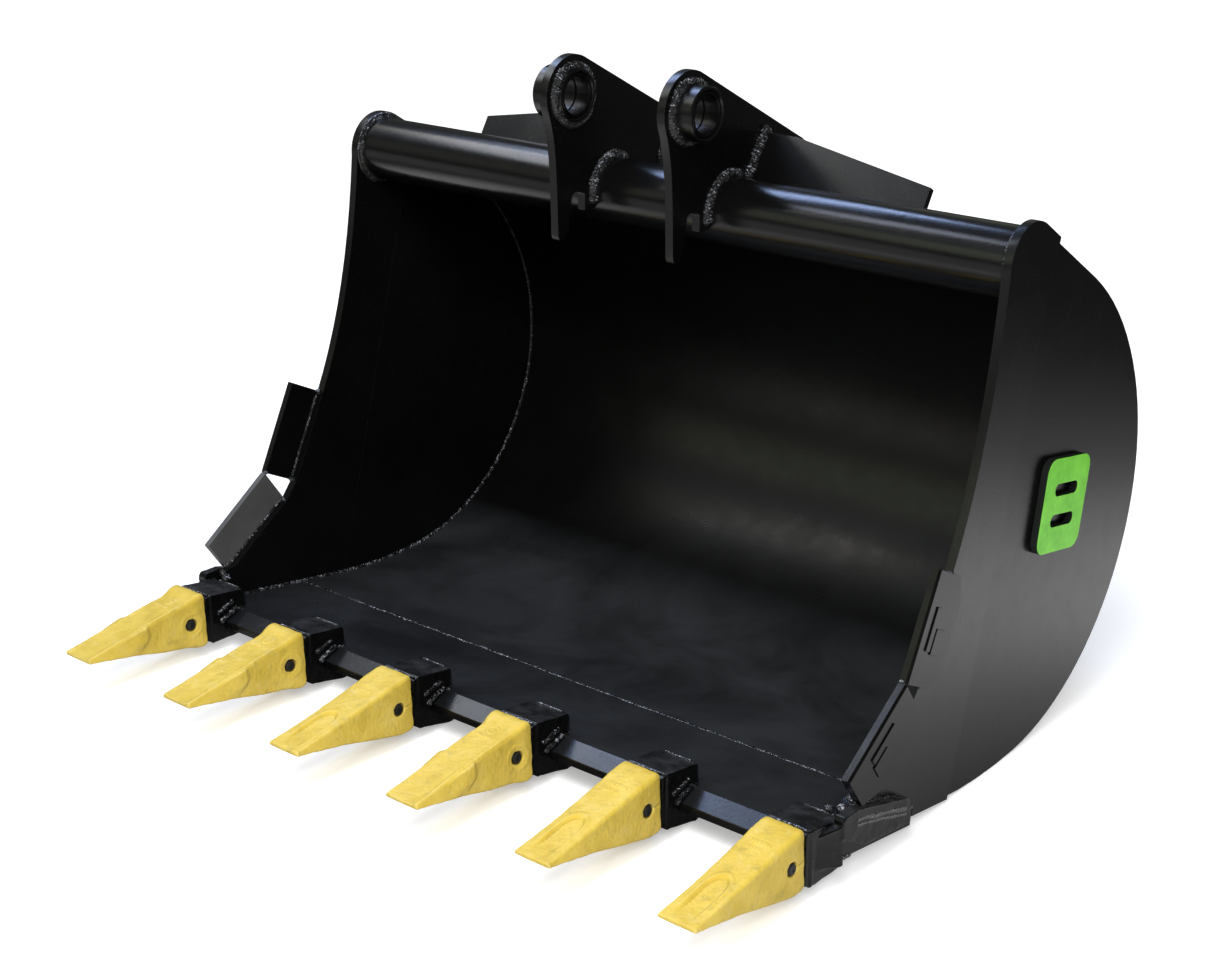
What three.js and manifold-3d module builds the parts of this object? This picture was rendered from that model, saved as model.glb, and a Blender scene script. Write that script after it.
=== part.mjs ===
// Excavator bucket, about 1.8 m wide, with six weld-on tooth adapters and pinned cast teeth.
//
// Millimetres, +Z up. X runs across the bucket, -Y is the way the teeth point, +Y is the back.
// The bucket stands as it rests on a floor, on its belly and on the legs of its tooth adapters.
// The origin is the middle of the bottom of its bounding box.
//
// Side outlines are drawn as [y, z] pairs in the bucket's own side view, whose y = 0 and z = 0 lie
// near the low point of the belly. The last section turns and shifts that view onto the floor.

import * as THREE from 'three';
import { mergeVertices } from 'three/addons/utils/BufferGeometryUtils.js';
import Module from 'manifold-3d';

const wasm = await Module();
wasm.setup();

// ---------------------------------------------------------------- driving dimensions

const WELD_GAP = 0.3; // between plates that are welded to each other

// Across the width
const HALF_WIDTH = 888; // to the outer faces of the side edge plates
const EDGE_PLATE_THICKNESS = 20;
const SIDE_PLATE_THICKNESS = 16;
const INNER_HALF_WIDTH = HALF_WIDTH - EDGE_PLATE_THICKNESS;

// Torque tube
const TUBE_CENTRE = [221, 1068];
const TUBE_RADIUS = 73;
const TUBE_WALL = 12;

// Shell: the floor line leaves the cutting edge, three arcs turn it into the roof line
const SEAM = [-112, 44]; // top of the joint between cutting edge and shell
const FLOOR_SLOPE = THREE.MathUtils.degToRad(8.5);
const ROOF_SLOPE = THREE.MathUtils.degToRad(31.7);
const SHELL_THICKNESS = 14;
const BELLY_ARC = { radius: 1200, turn: THREE.MathUtils.degToRad(14) };
const HEEL_ARC = { radius: 515, turn: THREE.MathUtils.degToRad(108) };
const BACK_RADIUS = 585;
const ROOF_STOP = 22; // the shell ends this far short of its tangent point on the tube
const ARC_STEP = THREE.MathUtils.degToRad(4);
const CURVE_POINTS = 10;
const TUBE_SEGMENTS = 72;

// Side walls
const SIDE_OVERHANG = 4; // of the rear side plates beyond the shell
const EDGE_OVERHANG = 8; // of the front edge plates beyond the shell
const LOBE_RADIUS = 87;
const JOINT_TOP = [326, 1104]; // the line where edge plate and side plate meet
const JOINT_BOTTOM = [24, 10];
const MOUTH_NOSE = [-346, 148];
const MOUTH_FOOT = [-320, 152];
const MOUTH_KINK = [-146, 268];
const MOUTH_KNEE = [-112, 310];
const MOUTH_SHOULDER = [-13, 508];
const MOUTH_BULGE = [101, 736];

// Cutting edge
const LIP_THICKNESS = 40;
const LIP_FRONT = -425;
const LIP_BEVEL_START = -382;
const LIP_NOSE_TOP = 66;

// Hanger ears
const EAR_THICKNESS = 20;
const EAR_MIDDLE = 156; // from the centre plane to the middle of the plate
const ARM_PIN = [82, 1296];
const LINK_PIN = [446, 1108];
const EAR_LOBE_RADIUS = 85;
const EAR_TAIL = [612, 915];
const EAR_ROOT = [[500, 880], [240, 1000]]; // corners that end up inside the shell and the tube
const EAR_FRONT_PULLS = [[26, 1150], [26, 1205]]; // the handles of the front edge's curve
const EAR_LOBE_START = THREE.MathUtils.degToRad(191.5);
const EAR_LOBE_END = THREE.MathUtils.degToRad(-11.5);
const FINGER_TIP = { front: [30, 1000], bottom: 990, back: [66, 1012], slant: 14, chamfer: 4 };
const EAR_SLOT = { front: 76, rear: 119, top: 1085, foot: 1040, corner: 12 };

// Pivot bosses and bushes
const BOSS = { radius: 58, bore: 48, inner: 132, outer: 212, chamfer: 3 };
const BUSH = { radius: 47.7, bore: 40, setback: 2 };
const PIVOT_SEGMENTS = 40;

// Gussets on the shell behind the tube
const GUSSET = { outer: 603, shoulder: 255, tall: 116, low: 54, thickness: 14, setback: 22 };

// Teeth and adapters
const TOOTH_COUNT = 6;
const TOOTH_PITCH = 335;
const TOOTH_AXIS = 89; // height of the tooth centre line
const TOOTH_BACK = -482;
const TOOTH_TIP = -805;
const CHISEL_TEETH = [3, 5, 6]; // the other teeth have a flared collar and a ridge
const LOCK_PIN = { y: -522, radius: 12, clearance: 0.1, half: 49.5, dome: 3 };
const CHEEK_HOLE_RADIUS = 15;
const NOSE = { front: -690, backHalf: [34, 41], frontHalf: [25, 13] };
const POCKET_CLEARANCE = 1.5;
const ADAPTER = { halfWidth: 49, front: -478, bottom: 24, strap: 47, strapEnd: -355, legEnd: -330 };
const CAST_CHAMFER = 8;
const STRAP_CHAMFER = 16; // in plan, at the rear corners
const CORNER_LEG_BOTTOM = 22;
const CORNER_STRAP = { thickness: 24, end: -160, above: 43, below: 14, front: -397, chin: 19, heel: -323 };
const CORNER_BRIDGE = { back: -362, low: 1, high: 38, depth: 5 };

// Side cutters
const CUTTER = { length: 225.9, endDepth: 86, midDepth: 118, rearFrom: 54, rearTo: 167, thickness: 19 };
const UPPER_CUTTER = { top: [-91, 547], lean: [-0.447, -0.894] };
const LOWER_CUTTER = { top: [-192.8, 344], lean: [-0.8216, -0.5701] };

// Badge plate
const BADGE = { centre: [405, 530], width: 186, height: 202, corner: 30, thickness: 16 };
const BADGE_LEAN = THREE.MathUtils.degToRad(10);
const BADGE_SLOT = { length: 96, height: 26, spacing: 66 };

// ---------------------------------------------------------------- materials

const paint = (color, roughness, metalness) => (
  new THREE.MeshStandardMaterial({ color, roughness, metalness })
);
const blackPaint = () => paint(0x101113, 0.35, 0.1);
const castBlack = () => paint(0x141517, 0.5, 0.1);
const toothYellow = () => paint(0xe3bd3b, 0.55, 0.0);
const pinSteel = () => paint(0x2b2d30, 0.45, 0.8);
const bushSteel = () => paint(0x4b4d50, 0.35, 0.9);
const badgeGreen = () => paint(0x5fc22e, 0.45, 0.0);

// ---------------------------------------------------------------- plane geometry

const add = (a, b, scale = 1) => [a[0] + scale * b[0], a[1] + scale * b[1]];
const along = (angle) => [Math.cos(angle), Math.sin(angle)];
const leftOf = (direction) => [-direction[1], direction[0]];

// Points of an arc from one angle to another, both ends included
function arc(centre, radius, from, to, step = ARC_STEP) {
  const count = Math.max(2, Math.ceil(Math.abs(to - from) / step));
  const points = [];
  for (let i = 0; i <= count; i += 1) {
    points.push(add(centre, along(from + ((to - from) * i) / count), radius));
  }
  return points;
}

const floorDirection = along(-FLOOR_SLOPE);
const floorUp = leftOf(floorDirection);
const roofDirection = along(-ROOF_SLOPE);
const roofUp = leftOf(roofDirection);
const roofTangent = add(TUBE_CENTRE, roofUp, TUBE_RADIUS);

// Height of the cutting edge's top plane, or of a plane parallel to it
const lipHeight = (y, above = 0) => (
  SEAM[1] + Math.tan(FLOOR_SLOPE) * (SEAM[0] - y) + above / Math.cos(FLOOR_SLOPE)
);
const onLip = (y, above = 0) => [y, lipHeight(y, above)];

// The outer mould line of the shell. Its straight floor is as long as the tangent roof needs.
function mouldArcs() {
  const start = add(SEAM, floorUp, -SHELL_THICKNESS);
  const backTurn = Math.PI - ROOF_SLOPE + FLOOR_SLOPE - BELLY_ARC.turn - HEEL_ARC.turn;
  const turns = [BELLY_ARC, HEEL_ARC, { radius: BACK_RADIUS, turn: backTurn }];
  const walk = (floorLength) => {
    let point = add(start, floorDirection, floorLength);
    let heading = -FLOOR_SLOPE;
    return turns.map(({ radius, turn }) => {
      const centre = add(point, leftOf(along(heading)), radius);
      const piece = { centre, radius, from: heading - Math.PI / 2, to: heading + turn - Math.PI / 2 };
      heading += turn;
      point = add(centre, along(piece.to), radius);
      return { ...piece, end: point };
    });
  };
  const missed = add(walk(0)[2].end, roofTangent, -1);
  const excess = missed[0] * roofUp[0] + missed[1] * roofUp[1];
  const floorStep = floorDirection[0] * roofUp[0] + floorDirection[1] * roofUp[1];
  return walk(-excess / floorStep);
}

const shellArcs = mouldArcs();

// The low point of the side plates, on the belly arc, is where the bucket stands
const groundHeight = shellArcs[0].centre[1] - BELLY_ARC.radius - SIDE_OVERHANG;

// The shell line moved outward by an offset, from the seam to a stop on the roof
function shellLine(offset, roofStop) {
  const points = [add(SEAM, floorUp, -SHELL_THICKNESS - offset)];
  for (const { centre, radius, from, to } of shellArcs) {
    points.push(...arc(centre, radius + offset, from, to));
  }
  points.push(add(add(roofTangent, roofUp, offset), roofDirection, roofStop));
  return points.filter((point, i) => i === 0 || Math.hypot(...add(point, points[i - 1], -1)) > 0.01);
}

// ---------------------------------------------------------------- solids

function outline(points, holes = []) {
  const shape = new THREE.Shape(points.map(([u, v]) => new THREE.Vector2(u, v)));
  for (const hole of holes) {
    shape.holes.push(new THREE.Path(hole.map(([u, v]) => new THREE.Vector2(u, v))));
  }
  return shape;
}

const extruded = (shape, depth) => new THREE.ExtrudeGeometry(shape, { depth, bevelEnabled: false });

// A side outline [y, z] as a slab that spans x = from to x = to
function slab(points, from, to, holes = []) {
  const geometry = extruded(outline(points, holes), to - from);
  geometry.applyMatrix4(new THREE.Matrix4().makeBasis(
    new THREE.Vector3(0, 1, 0),
    new THREE.Vector3(0, 0, 1),
    new THREE.Vector3(1, 0, 0),
  ));
  return geometry.translate(from, 0, 0);
}

// A plan outline [x, y] as a slab that spans z = from to z = to
function planSlab(points, from, to) {
  return extruded(outline(points), to - from).translate(0, 0, from);
}

// A ring or a rod about an axis along x through [y, z]; profile pairs are [radius, x]
function turned([y, z], profile, segments) {
  const geometry = new THREE.LatheGeometry(profile.map(([r, x]) => new THREE.Vector2(r, x)), segments);
  return geometry.rotateZ(-Math.PI / 2).translate(0, y, z);
}

function rod(centre, radius, from, to, segments) {
  return turned(centre, [[0, from], [radius, from], [radius, to], [0, to]], segments);
}

function solid(geometry) {
  const bare = geometry.clone();
  bare.deleteAttribute('normal');
  bare.deleteAttribute('uv');
  const merged = mergeVertices(bare, 1e-3);
  const vertProperties = new Float32Array(merged.attributes.position.array);
  const triVerts = new Uint32Array(merged.index.array);
  return new wasm.Manifold(new wasm.Mesh({ numProp: 3, vertProperties, triVerts }));
}

function geometryOf(body) {
  const { vertProperties, triVerts } = body.getMesh();
  const geometry = new THREE.BufferGeometry();
  geometry.setAttribute('position', new THREE.BufferAttribute(new Float32Array(vertProperties), 3));
  geometry.setIndex(new THREE.BufferAttribute(new Uint32Array(triVerts), 1));
  return geometry;
}

// The same solid on the other side of the centre plane
function mirrored(geometry) {
  const copy = geometry.index ? geometry.toNonIndexed() : geometry.clone();
  const positions = copy.attributes.position;
  for (let i = 0; i < positions.count; i += 3) {
    const [a, b, c] = [0, 1, 2].map((k) => new THREE.Vector3().fromBufferAttribute(positions, i + k));
    [a, c, b].forEach((corner, k) => positions.setXYZ(i + k, -corner.x, corner.y, corner.z));
  }
  copy.deleteAttribute('normal');
  copy.deleteAttribute('uv');
  return mergeVertices(copy, 1e-4);
}

const bucket = new THREE.Group();

function addPiece(name, geometry, finish, x = 0) {
  geometry.computeVertexNormals();
  const mesh = new THREE.Mesh(geometry, finish());
  mesh.name = name;
  mesh.position.x = x;
  bucket.add(mesh);
}

// A right-hand piece and its mirror image on the left
function addPair(name, geometry, finish) {
  addPiece(`${name}_right`, geometry, finish);
  addPiece(`${name}_left`, mirrored(geometry), finish);
}

// ---------------------------------------------------------------- shell, cutting edge and tube

const tubeCutter = solid(rod(TUBE_CENTRE, TUBE_RADIUS + WELD_GAP, -HALF_WIDTH, HALF_WIDTH, TUBE_SEGMENTS));

function shellWrapper() {
  const reach = INNER_HALF_WIDTH - WELD_GAP;
  const outside = shellLine(0, ROOF_STOP);
  const inside = shellLine(-SHELL_THICKNESS, ROOF_STOP).reverse();
  const plate = slab([...outside, ...inside], -reach, reach);
  return geometryOf(solid(plate).subtract(tubeCutter));
}

function cuttingEdge() {
  const rear = add(SEAM, floorDirection, -WELD_GAP);
  const bottomFront = onLip(LIP_FRONT, -LIP_THICKNESS);
  return slab([
    rear,
    onLip(LIP_BEVEL_START),
    [LIP_FRONT, LIP_NOSE_TOP],
    bottomFront,
    add(rear, floorUp, -LIP_THICKNESS),
  ], -HALF_WIDTH, HALF_WIDTH);
}

function torqueTube() {
  const reach = INNER_HALF_WIDTH - WELD_GAP;
  const bore = TUBE_RADIUS - TUBE_WALL;
  return turned(TUBE_CENTRE, [
    [bore, -reach],
    [TUBE_RADIUS, -reach],
    [TUBE_RADIUS, reach],
    [bore, reach],
    [bore, -reach],
  ], TUBE_SEGMENTS);
}

// ---------------------------------------------------------------- side walls

// Everything behind the joint line, moved back by a gap
function behindJoint(gap, from, to) {
  const line = [JOINT_TOP[0] - JOINT_BOTTOM[0], JOINT_TOP[1] - JOINT_BOTTOM[1]];
  const high = add(add(JOINT_TOP, line, 0.3), [gap, 0]);
  const low = add(add(JOINT_BOTTOM, line, -0.3), [gap, 0]);
  return solid(slab([low, [1200, low[1]], [1200, high[1]], high], from, to));
}

function mouthCurve() {
  const lobeSide = add(TUBE_CENTRE, [-LOBE_RADIUS, -8]);
  const curve = new THREE.QuadraticBezierCurve(
    new THREE.Vector2(...MOUTH_SHOULDER),
    new THREE.Vector2(...MOUTH_BULGE),
    new THREE.Vector2(...lobeSide),
  );
  return curve.getPoints(CURVE_POINTS).map((point) => [point.x, point.y]);
}

function sideEdgePlate() {
  const topLine = add(TUBE_CENTRE, roofUp, LOBE_RADIUS);
  const below = SHELL_THICKNESS + EDGE_OVERHANG;
  const seamFoot = add(add(SEAM, floorDirection, WELD_GAP), floorUp, WELD_GAP);
  const plate = slab([
    ...mouthCurve(),
    ...arc(TUBE_CENTRE, LOBE_RADIUS, Math.PI, Math.PI / 2 - ROOF_SLOPE, ARC_STEP * 2),
    add(topLine, roofDirection, 200),
    add(add(SEAM, floorDirection, 260), floorUp, -below),
    add(add(SEAM, floorDirection, WELD_GAP), floorUp, -below),
    seamFoot,
    onLip(MOUTH_NOSE[0], WELD_GAP),
    MOUTH_NOSE,
    MOUTH_FOOT,
    MOUTH_KINK,
    MOUTH_KNEE,
  ], INNER_HALF_WIDTH, HALF_WIDTH);
  return geometryOf(solid(plate).subtract(behindJoint(0, 0, HALF_WIDTH * 2)));
}

function sidePlate() {
  const rim = shellLine(SIDE_OVERHANG, 0);
  const plate = slab([...rim, TUBE_CENTRE], INNER_HALF_WIDTH, INNER_HALF_WIDTH + SIDE_PLATE_THICKNESS);
  return geometryOf(solid(plate).intersect(behindJoint(WELD_GAP, 0, HALF_WIDTH * 2)));
}

// ---------------------------------------------------------------- ears, bosses, bushes, gussets

function ear() {
  const from = EAR_MIDDLE - EAR_THICKNESS / 2;
  const to = EAR_MIDDLE + EAR_THICKNESS / 2;
  const edgeAngle = Math.atan2(LINK_PIN[1] - ARM_PIN[1], LINK_PIN[0] - ARM_PIN[0]);
  const upward = edgeAngle + Math.PI / 2;
  const frontEdge = new THREE.CubicBezierCurve(
    new THREE.Vector2(...FINGER_TIP.front),
    new THREE.Vector2(...EAR_FRONT_PULLS[0]),
    new THREE.Vector2(...EAR_FRONT_PULLS[1]),
    new THREE.Vector2(...add(ARM_PIN, along(EAR_LOBE_START), EAR_LOBE_RADIUS)),
  ).getPoints(CURVE_POINTS).map((point) => [point.x, point.y]);
  const slotCorner = (y) => [y, EAR_SLOT.top - EAR_SLOT.corner];
  const plate = slab([
    ...frontEdge.slice(0, -1),
    ...arc(ARM_PIN, EAR_LOBE_RADIUS, EAR_LOBE_START, upward, ARC_STEP * 2),
    ...arc(LINK_PIN, EAR_LOBE_RADIUS, upward, EAR_LOBE_END, ARC_STEP * 2),
    EAR_TAIL,
    ...EAR_ROOT,
    [TUBE_CENTRE[0], EAR_SLOT.foot],
    [EAR_SLOT.rear, EAR_SLOT.foot],
    ...arc(slotCorner(EAR_SLOT.rear - EAR_SLOT.corner), EAR_SLOT.corner, 0, Math.PI / 2, ARC_STEP * 6),
    ...arc(slotCorner(EAR_SLOT.front + EAR_SLOT.corner), EAR_SLOT.corner, Math.PI / 2, Math.PI, ARC_STEP * 6),
    FINGER_TIP.back,
    [FINGER_TIP.back[0] - FINGER_TIP.slant, FINGER_TIP.bottom],
    [FINGER_TIP.front[0] + FINGER_TIP.chamfer, FINGER_TIP.bottom],
  ], from, to);
  const inside = [...shellLine(WELD_GAP, ROOF_STOP - WELD_GAP), add(TUBE_CENTRE, roofDirection, ROOF_STOP)];
  let body = solid(plate).subtract(tubeCutter).subtract(solid(slab(inside, 0, HALF_WIDTH)));
  for (const pin of [ARM_PIN, LINK_PIN]) {
    body = body.subtract(solid(rod(pin, BOSS.radius + WELD_GAP, 0, HALF_WIDTH, PIVOT_SEGMENTS)));
  }
  return geometryOf(body);
}

function boss(pin) {
  const { radius, bore, inner, outer, chamfer } = BOSS;
  return turned(pin, [
    [bore, inner],
    [radius - chamfer, inner],
    [radius, inner + chamfer],
    [radius, outer - chamfer],
    [radius - chamfer, outer],
    [bore, outer],
    [bore, inner],
  ], PIVOT_SEGMENTS);
}

function bush(pin) {
  const { radius, bore, setback } = BUSH;
  const from = BOSS.inner + setback;
  const to = BOSS.outer - setback;
  return turned(pin, [[bore, from], [radius, from], [radius, to], [bore, to], [bore, from]], PIVOT_SEGMENTS);
}

// Drawn as [x, height above the shell] and stood on the roof line
function gusset() {
  const inner = EAR_MIDDLE + EAR_THICKNESS / 2 + WELD_GAP;
  const shape = outline([
    [inner, WELD_GAP],
    [GUSSET.outer, WELD_GAP],
    [GUSSET.outer, GUSSET.low],
    [GUSSET.shoulder, GUSSET.tall],
    [inner, GUSSET.tall],
  ]);
  const geometry = extruded(shape, GUSSET.thickness);
  const foot = add(roofTangent, roofDirection, GUSSET.setback + GUSSET.thickness);
  geometry.applyMatrix4(new THREE.Matrix4().makeBasis(
    new THREE.Vector3(1, 0, 0),
    new THREE.Vector3(0, roofUp[0], roofUp[1]),
    new THREE.Vector3(0, -roofDirection[0], -roofDirection[1]),
  ));
  return geometry.translate(0, foot[0], foot[1]);
}

// ---------------------------------------------------------------- teeth, lock pins and adapters

const lockPinCentre = [LOCK_PIN.y, TOOTH_AXIS];

// A wedge about the tooth axis; half sizes are [across, up]
function wedge(back, backHalf, front, frontHalf) {
  const side = slab([
    [back, TOOTH_AXIS - backHalf[1]],
    [back, TOOTH_AXIS + backHalf[1]],
    [front, TOOTH_AXIS + frontHalf[1]],
    [front, TOOTH_AXIS - frontHalf[1]],
  ].reverse(), -backHalf[0], backHalf[0]);
  const plan = planSlab([
    [-backHalf[0], back],
    [-frontHalf[0], front],
    [frontHalf[0], front],
    [backHalf[0], back],
  ], TOOTH_AXIS - 200, TOOTH_AXIS + 200);
  return solid(side).intersect(solid(plan));
}

function adapterBody(legBottom) {
  const { halfWidth, front, bottom, strap, strapEnd, legEnd } = ADAPTER;
  const side = slab([
    onLip(strapEnd, WELD_GAP),
    onLip(strapEnd - CAST_CHAMFER / 2, strap - CAST_CHAMFER),
    onLip(strapEnd - CAST_CHAMFER * 1.75, strap),
    onLip(front + CAST_CHAMFER, strap),
    [front, lipHeight(front, strap) - CAST_CHAMFER],
    [front, bottom + CAST_CHAMFER],
    [front + CAST_CHAMFER * 1.5, bottom],
    [legEnd - CAST_CHAMFER * 1.5, legBottom],
    [legEnd, legBottom + CAST_CHAMFER],
    onLip(legEnd, -LIP_THICKNESS - WELD_GAP),
    onLip(LIP_FRONT - WELD_GAP, -LIP_THICKNESS - WELD_GAP),
    [LIP_FRONT - WELD_GAP, LIP_NOSE_TOP + WELD_GAP],
    onLip(LIP_BEVEL_START, WELD_GAP * 1.5),
  ].reverse(), -halfWidth, halfWidth);
  const plan = planSlab([
    [-halfWidth, front - 1],
    [halfWidth, front - 1],
    [halfWidth, strapEnd - STRAP_CHAMFER],
    [halfWidth - STRAP_CHAMFER, legEnd + 1],
    [STRAP_CHAMFER - halfWidth, legEnd + 1],
    [-halfWidth, strapEnd - STRAP_CHAMFER],
  ], -200, 400);
  const nose = wedge(front + 1, NOSE.backHalf, NOSE.front, NOSE.frontHalf);
  const pinHole = rod(lockPinCentre, LOCK_PIN.radius + LOCK_PIN.clearance, -100, 100, 24);
  return solid(side).intersect(solid(plan)).add(nose).subtract(solid(pinHole));
}

// The strap of a corner adapter, outside the side wall; outward is +1 on the right
function cornerStrap(outward) {
  const offset = HALF_WIDTH - ((TOOTH_COUNT - 1) / 2) * TOOTH_PITCH;
  const { thickness, end, above, below, front, chin, heel } = CORNER_STRAP;
  const { back, low, high, depth } = CORNER_BRIDGE;
  const span = (near, far) => (outward > 0 ? [near, far] : [-far, -near]);
  const strap = slab([
    onLip(end, -below),
    onLip(end, above - CAST_CHAMFER),
    onLip(end - CAST_CHAMFER, above),
    MOUTH_NOSE,
    [front + CAST_CHAMFER, MOUTH_NOSE[1]],
    [front, MOUTH_NOSE[1] - CAST_CHAMFER],
    onLip(front, chin),
    onLip(heel, -below),
  ].reverse(), ...span(offset + WELD_GAP, offset + thickness));
  const bridge = slab([
    onLip(back, low),
    onLip(back, high),
    onLip(front, high),
    onLip(front, low),
  ].reverse(), ...span(ADAPTER.halfWidth - depth, offset + thickness / 2));
  return solid(strap).add(solid(bridge));
}

function toothSide(flared) {
  const ridge = flared ? 6 : 0;
  return [
    [TOOTH_BACK, 27],
    [TOOTH_BACK, 148],
    [TOOTH_BACK - 8, 155],
    [TOOTH_BACK - 34, 151],
    [-600, 134 + ridge],
    [-730, 110 + ridge],
    [TOOTH_TIP, 100],
    [TOOTH_TIP, 92],
    [-700, 74],
    [-600, 46],
    [TOOTH_BACK - 16, 24],
  ].reverse();
}

function toothPlan(flared) {
  const collar = flared ? 53 : 50;
  const neck = flared ? 45 : 49;
  const right = [
    [collar - 3, TOOTH_BACK],
    [collar, TOOTH_BACK - 6],
    [collar, TOOTH_BACK - 22],
    [neck, TOOTH_BACK - 60],
    [neck - 1, -680],
    [43, TOOTH_TIP],
  ];
  const left = right.map(([x, y]) => [-x, y]).reverse();
  return [...right, ...left].reverse();
}

function tooth(flared) {
  const side = solid(slab(toothSide(flared), -60, 60));
  const body = side.intersect(solid(planSlab(toothPlan(flared), -50, 250)));
  const grow = POCKET_CLEARANCE;
  const pocket = wedge(
    TOOTH_BACK + 10,
    [NOSE.backHalf[0] + grow, NOSE.backHalf[1] + grow],
    NOSE.front - grow * 4,
    [NOSE.frontHalf[0] + grow, NOSE.frontHalf[1] + grow],
  );
  const cheekHole = rod(lockPinCentre, CHEEK_HOLE_RADIUS, -100, 100, 24);
  return geometryOf(body.subtract(pocket).subtract(solid(cheekHole)));
}

function lockPin() {
  const { radius, half, dome } = LOCK_PIN;
  return turned(lockPinCentre, [
    [0, -half],
    [radius - dome, -half],
    [radius, dome - half],
    [radius, half - dome],
    [radius - dome, half],
    [0, half],
  ], 24);
}

// ---------------------------------------------------------------- side cutters and badge

// A weld-on cutter whose front edge runs from its top corner along its lean
function sideCutter({ top, lean }) {
  const inward = leftOf(lean);
  const at = (distance, depth) => add(add(top, lean, distance), inward, depth);
  const { length, endDepth, midDepth, rearFrom, rearTo, thickness } = CUTTER;
  return slab([
    at(0, 0),
    at(length, 0),
    at(length, endDepth),
    at(rearTo, midDepth),
    at(rearFrom, midDepth),
    at(0, endDepth),
  ], HALF_WIDTH + WELD_GAP, HALF_WIDTH + WELD_GAP + thickness);
}

// A rectangle with round corners about [0, 0]
function roundedRectangle(width, height, corner) {
  const corners = [[1, -1, -Math.PI / 2], [1, 1, 0], [-1, 1, Math.PI / 2], [-1, -1, Math.PI]];
  return corners.flatMap(([u, v, from]) => (
    arc([u * (width / 2 - corner), v * (height / 2 - corner)], corner, from, from + Math.PI / 2, ARC_STEP * 4)
  ));
}

function badgePlate() {
  const face = INNER_HALF_WIDTH + SIDE_PLATE_THICKNESS + WELD_GAP;
  const place = ([u, v]) => [
    BADGE.centre[0] + u * Math.cos(BADGE_LEAN) + v * Math.sin(BADGE_LEAN),
    BADGE.centre[1] - u * Math.sin(BADGE_LEAN) + v * Math.cos(BADGE_LEAN),
  ];
  const slots = [-1, 1].map((row) => (
    roundedRectangle(BADGE_SLOT.length, BADGE_SLOT.height, BADGE_SLOT.height / 2 - 1)
      .map(([u, v]) => place([u, v + (row * BADGE_SLOT.spacing) / 2]))
  ));
  const rim = roundedRectangle(BADGE.width, BADGE.height, BADGE.corner).map(place);
  return slab(rim, face, face + BADGE.thickness, slots);
}

// ---------------------------------------------------------------- assembly

addPiece('shell_wrapper', shellWrapper(), blackPaint);
addPiece('cutting_edge', cuttingEdge(), blackPaint);
addPiece('torque_tube', torqueTube(), blackPaint);
addPair('side_edge_plate', sideEdgePlate(), blackPaint);
addPair('side_plate', sidePlate(), blackPaint);
addPair('ear', ear(), blackPaint);
addPair('arm_pin_boss', boss(ARM_PIN), blackPaint);
addPair('link_pin_boss', boss(LINK_PIN), blackPaint);
addPair('arm_pin_bush', bush(ARM_PIN), bushSteel);
addPair('link_pin_bush', bush(LINK_PIN), bushSteel);
addPair('gusset', gusset(), blackPaint);
addPair('side_cutter_upper', sideCutter(UPPER_CUTTER), blackPaint);
addPair('side_cutter_lower', sideCutter(LOWER_CUTTER), blackPaint);
addPiece('badge_plate', badgePlate(), badgeGreen);

for (let number = 1; number <= TOOTH_COUNT; number += 1) {
  const x = (number - (TOOTH_COUNT + 1) / 2) * TOOTH_PITCH;
  const atCorner = number === 1 || number === TOOTH_COUNT;
  let adapter = adapterBody(atCorner ? CORNER_LEG_BOTTOM : groundHeight);
  if (number === 1) adapter = adapter.add(cornerStrap(-1));
  if (number === TOOTH_COUNT) adapter = adapter.add(cornerStrap(1));
  addPiece(`adapter_${number}`, geometryOf(adapter), castBlack, x);
  addPiece(`tooth_${number}`, tooth(!CHISEL_TEETH.includes(number)), toothYellow, x);
  addPiece(`tooth_pin_${number}`, lockPin(), pinSteel, x);
}

const group = new THREE.Group();
group.add(bucket);
const bounds = new THREE.Box3().setFromObject(bucket, true);
bucket.position.y = -(bounds.min.y + bounds.max.y) / 2;
bucket.position.z = -groundHeight;

export default group;
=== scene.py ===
"""Excavator bucket: the finished surfaces, welds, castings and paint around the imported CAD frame.

Metres, +Z up, +X across the bucket to its right side, teeth towards -Y. Side outlines are written as
(y, z) in millimetres in the bucket's own side view, which has the torque tube's centre at TUBE_CENTRE.
"""
import math
from contextlib import contextmanager

import bmesh
import bpy
import numpy as np
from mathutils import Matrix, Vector

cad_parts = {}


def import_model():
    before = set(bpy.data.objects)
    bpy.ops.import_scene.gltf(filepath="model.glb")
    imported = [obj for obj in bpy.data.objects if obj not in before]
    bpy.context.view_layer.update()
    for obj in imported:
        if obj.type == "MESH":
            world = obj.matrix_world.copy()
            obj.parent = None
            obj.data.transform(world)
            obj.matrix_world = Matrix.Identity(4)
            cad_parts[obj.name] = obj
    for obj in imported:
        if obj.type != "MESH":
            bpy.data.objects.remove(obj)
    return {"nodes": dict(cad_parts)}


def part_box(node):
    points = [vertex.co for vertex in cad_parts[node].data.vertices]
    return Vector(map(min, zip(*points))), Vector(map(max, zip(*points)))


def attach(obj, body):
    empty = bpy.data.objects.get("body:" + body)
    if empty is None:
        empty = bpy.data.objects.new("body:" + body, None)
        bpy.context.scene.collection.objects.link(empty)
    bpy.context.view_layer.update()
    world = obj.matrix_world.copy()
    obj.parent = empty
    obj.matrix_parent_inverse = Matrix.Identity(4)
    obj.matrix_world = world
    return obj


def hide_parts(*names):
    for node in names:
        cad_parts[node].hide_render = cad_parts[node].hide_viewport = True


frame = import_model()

MM = 0.001
BODY = "bucket"
SIDES = (("right", 1.0), ("left", -1.0))
SCENE = bpy.context.scene
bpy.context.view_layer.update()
NODES = frame["nodes"]

# ---- sizes, in millimetres

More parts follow.
